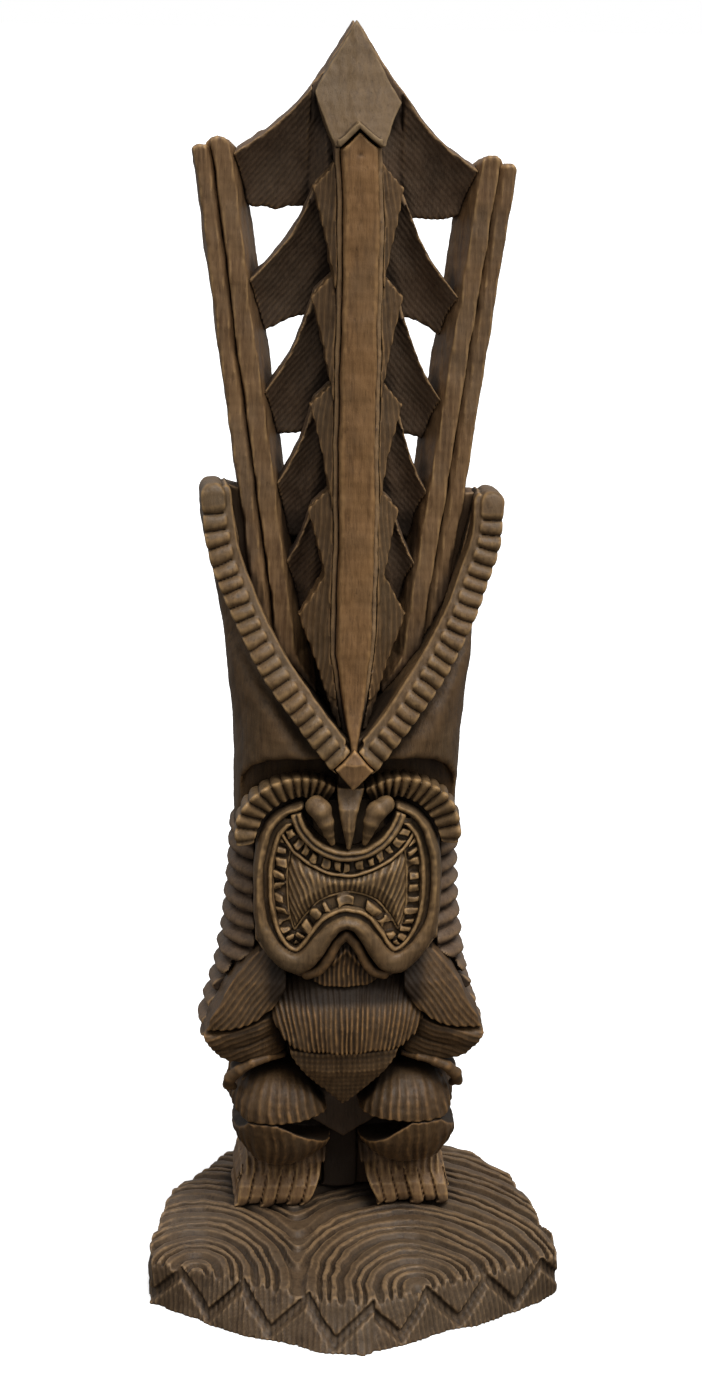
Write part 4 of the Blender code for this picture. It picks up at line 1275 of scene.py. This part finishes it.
def look_up(values, points):
    """Trilinear sample of the whole-figure grid at points in mm."""
    place = np.clip((points - box_low) / VOXEL, 0.0, np.array(values.shape) - 1.001)
    cell = place.astype(int)
    part = place - cell
    total = np.zeros(len(points))
    for i in (0, 1):
        for j in (0, 1):
            for k in (0, 1):
                share = ((part[:, 0] if i else 1 - part[:, 0]) * (part[:, 1] if j else 1 - part[:, 1])
                         * (part[:, 2] if k else 1 - part[:, 2]))
                total += share * values[cell[:, 0] + i, cell[:, 1] + j, cell[:, 2] + k]
    return total


carved = []
for body in BODIES:
    grid = body.sample()
    points, quads = surface_net(grid, body.low, body.step)
    points, quads = largest_parts(points, quads)
    inside_cells = np.argwhere(grid < 0)
    spot = ((body.low + body.step * inside_cells - box_low) / VOXEL + 0.5).astype(int)
    filled[tuple(spot.T)] = 1.0
    carved.append((body, points, quads))

crowd = box_blur(box_blur(filled, CROWD_BLUR), CROWD_BLUR)


def painted_shade_and_wax(node, points, normal):
    """How shut in a surface is, 0 to 1, for dark wax and painted shade: crowding just off the surface, and
    painted shadow between the legs, under the chin and inside the knees.
    """
    x, y, z = points.T
    hollow = (look_up(crowd, points + CROWD_REACH * normal) - 0.18) / 0.45
    # Painted shadow between the legs, round the hip post.
    shadow_between_legs = np.exp(-(x / 9.5) ** 4) * unit((y - 8.0) / 6.0) * unit((27.0 - y) / 3.0)
    hollow = np.maximum(hollow, shadow_between_legs * unit((44.0 - z) / 6.0) * (z > 12.0))
    # Painted shadow cast by the chin over the top of the chest and upper arms.
    if node.startswith(("chest", "upper_arm")):
        shadow_under_chin = unit((z - 67.5) / 3.5) * unit((23.0 - np.abs(x)) / 6.0)
        hollow = np.maximum(hollow, shadow_under_chin)
    # Painted shade on the calf's upward faces and the thigh's downward faces inside the knee slot.
    if node.startswith(("calf", "thigh")):
        shade_within_knee = normal[:, 2] if node.startswith("calf") else -normal[:, 2]
        hollow = np.maximum(hollow, 2.2 * shade_within_knee - 0.5)
    return np.clip(hollow, 0, 1)


def add_piece(body, points, quads):
    """The mesh of one body, with its wear and its darkening for wax and painted shade at each vertex, in place of
    its CAD node.
    """
    first, second, third = (points[quads[:, n]] for n in range(3))
    if np.einsum("ij,ij->", first, np.cross(second, third)) < 0:
        quads = quads[:, ::-1]
    mesh = bpy.data.meshes.new(body.node + "_carved")
    mesh.vertices.add(len(points))
    mesh.vertices.foreach_set("co", (settle(points) * MM).astype(np.float32).ravel())
    mesh.loops.add(4 * len(quads))
    mesh.loops.foreach_set("vertex_index", quads.astype(np.int32).ravel())
    mesh.polygons.add(len(quads))
    mesh.polygons.foreach_set("loop_start", np.arange(0, 4 * len(quads), 4, dtype=np.int32))
    mesh.update(calc_edges=True)
    mesh.shade_smooth()
    normal = np.zeros(3 * len(points), np.float32)
    mesh.vertices.foreach_get("normal", normal)
    normal = normal.reshape(-1, 3)
    relaxed = neighbour_mean(points, quads, max(2, int(round(8 * (0.3 / body.step) ** 2))))
    wear = np.clip(np.einsum("ij,ij->i", points - relaxed, normal) / WEAR_HEIGHT, -1, 1)
    for name, values in (("wear", wear), ("hollow", painted_shade_and_wax(body.node, points, normal))):
        layer = mesh.attributes.new(name, "FLOAT", "POINT")
        layer.data.foreach_set("value", values.astype(np.float32))
    piece = bpy.data.objects.new(body.node + "_carved", mesh)
    bpy.context.scene.collection.objects.link(piece)
    mesh.materials.append(body.material)
    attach(piece, "root")
    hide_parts(body.node)


for carving in carved:
    add_piece(*carving)

# ---------------------------------------------------------------- floor, light and camera
FLOOR_X = (-60.0, 60.0)
FLOOR_Y = (-30.0, 90.0)
FLOOR_PALE = 0.94
FLOOR_GLOW = 0.55
floor_mesh = bpy.data.meshes.new("floor")
floor_points = [(x, y, 0.0) for x in FLOOR_X for y in FLOOR_Y]
floor_mesh.from_pydata(floor_points, [], [(0, 2, 3, 1)])
floor = bpy.data.objects.new("floor", floor_mesh)
bpy.context.scene.collection.objects.link(floor)
pale = Nodes(bpy.data.materials.new("pale_floor"))
for socket_name, value in (("Base Color", (FLOOR_PALE, FLOOR_PALE, FLOOR_PALE, 1.0)), ("Roughness", 0.95),
                           ("Specular IOR Level", 0.0), ("Emission Color", (1.0, 1.0, 1.0, 1.0)),
                           ("Emission Strength", FLOOR_GLOW)):
    pale.shader.inputs[socket_name].default_value = value
floor_mesh.materials.append(pale.owner)
floor.visible_diffuse = False
floor.visible_glossy = False

# The camera sees a white room. Everything else is lit by a room that is dim below and brighter above.
world = bpy.data.worlds.new("studio")
sky = Nodes(world)
place = sky.new("ShaderNodeTexCoord").outputs["Generated"]
height = sky.new("ShaderNodeSeparateXYZ", Vector=place).outputs["Z"]
fade = sky.new("ShaderNodeMapRange", Value=height, From_Min=-0.5, From_Max=0.9, To_Min=0.05, To_Max=0.62)
level = sky.new("ShaderNodeMix")
sky.feed(level.inputs[0], sky.new("ShaderNodeLightPath").outputs["Is Camera Ray"])
sky.feed(level.inputs[2], fade.outputs[0])
sky.feed(level.inputs[3], 1.0)
background = sky.tree.nodes["Background"]
sky.feed(background.inputs[0], (1.0, 1.0, 1.0, 1.0))
sky.feed(background.inputs[1], level.outputs[0])
bpy.context.scene.world = world


def lamp(name, kind, position, target, energy, **settings):
    """A lamp aimed at a target, in metres."""
    data = bpy.data.lights.new(name, kind)
    data.energy = energy
    for key, value in settings.items():
        setattr(data, key, value)
    thing = bpy.data.objects.new(name, data)
    thing.location = position
    thing.rotation_euler = (Vector(target) - Vector(position)).to_track_quat("-Z", "Y").to_euler()
    bpy.context.scene.collection.objects.link(thing)


lamp("overhead", "SUN", (0.24, -0.56, 1.2), (0.0, 0.0, 0.0), 2.0, angle=math.radians(34.0))
lamp("window", "AREA", (0.85, -1.0, 0.9), (0.0, 0.0, 0.14), 2.2, shape="DISK", size=0.8)

CAMERA_AZIMUTH = math.radians(5.3)
CAMERA_DISTANCE = 0.638
CAMERA_HEIGHT = 0.300
CAMERA_PITCH = math.radians(13.603)
CAMERA_ROLL = math.radians(0.98)
CAMERA_VERTICAL_VIEW = math.radians(27.983)
camera_data = bpy.data.cameras.new("camera")
camera_data.sensor_fit = "VERTICAL"
camera_data.angle_y = CAMERA_VERTICAL_VIEW
camera = bpy.data.objects.new("camera", camera_data)
camera.matrix_world = (
    Matrix.Rotation(-CAMERA_AZIMUTH, 4, "Z")
    @ Matrix.Translation((0.0, -CAMERA_DISTANCE, CAMERA_HEIGHT))
    @ Matrix.Rotation(math.pi / 2.0 - CAMERA_PITCH, 4, "X")
    @ Matrix.Rotation(CAMERA_ROLL, 4, "Z")
)
bpy.context.scene.collection.objects.link(camera)
bpy.context.scene.camera = camera
bpy.context.scene.view_settings.view_transform = "Standard"
bpy.context.scene.view_settings.look = "None"
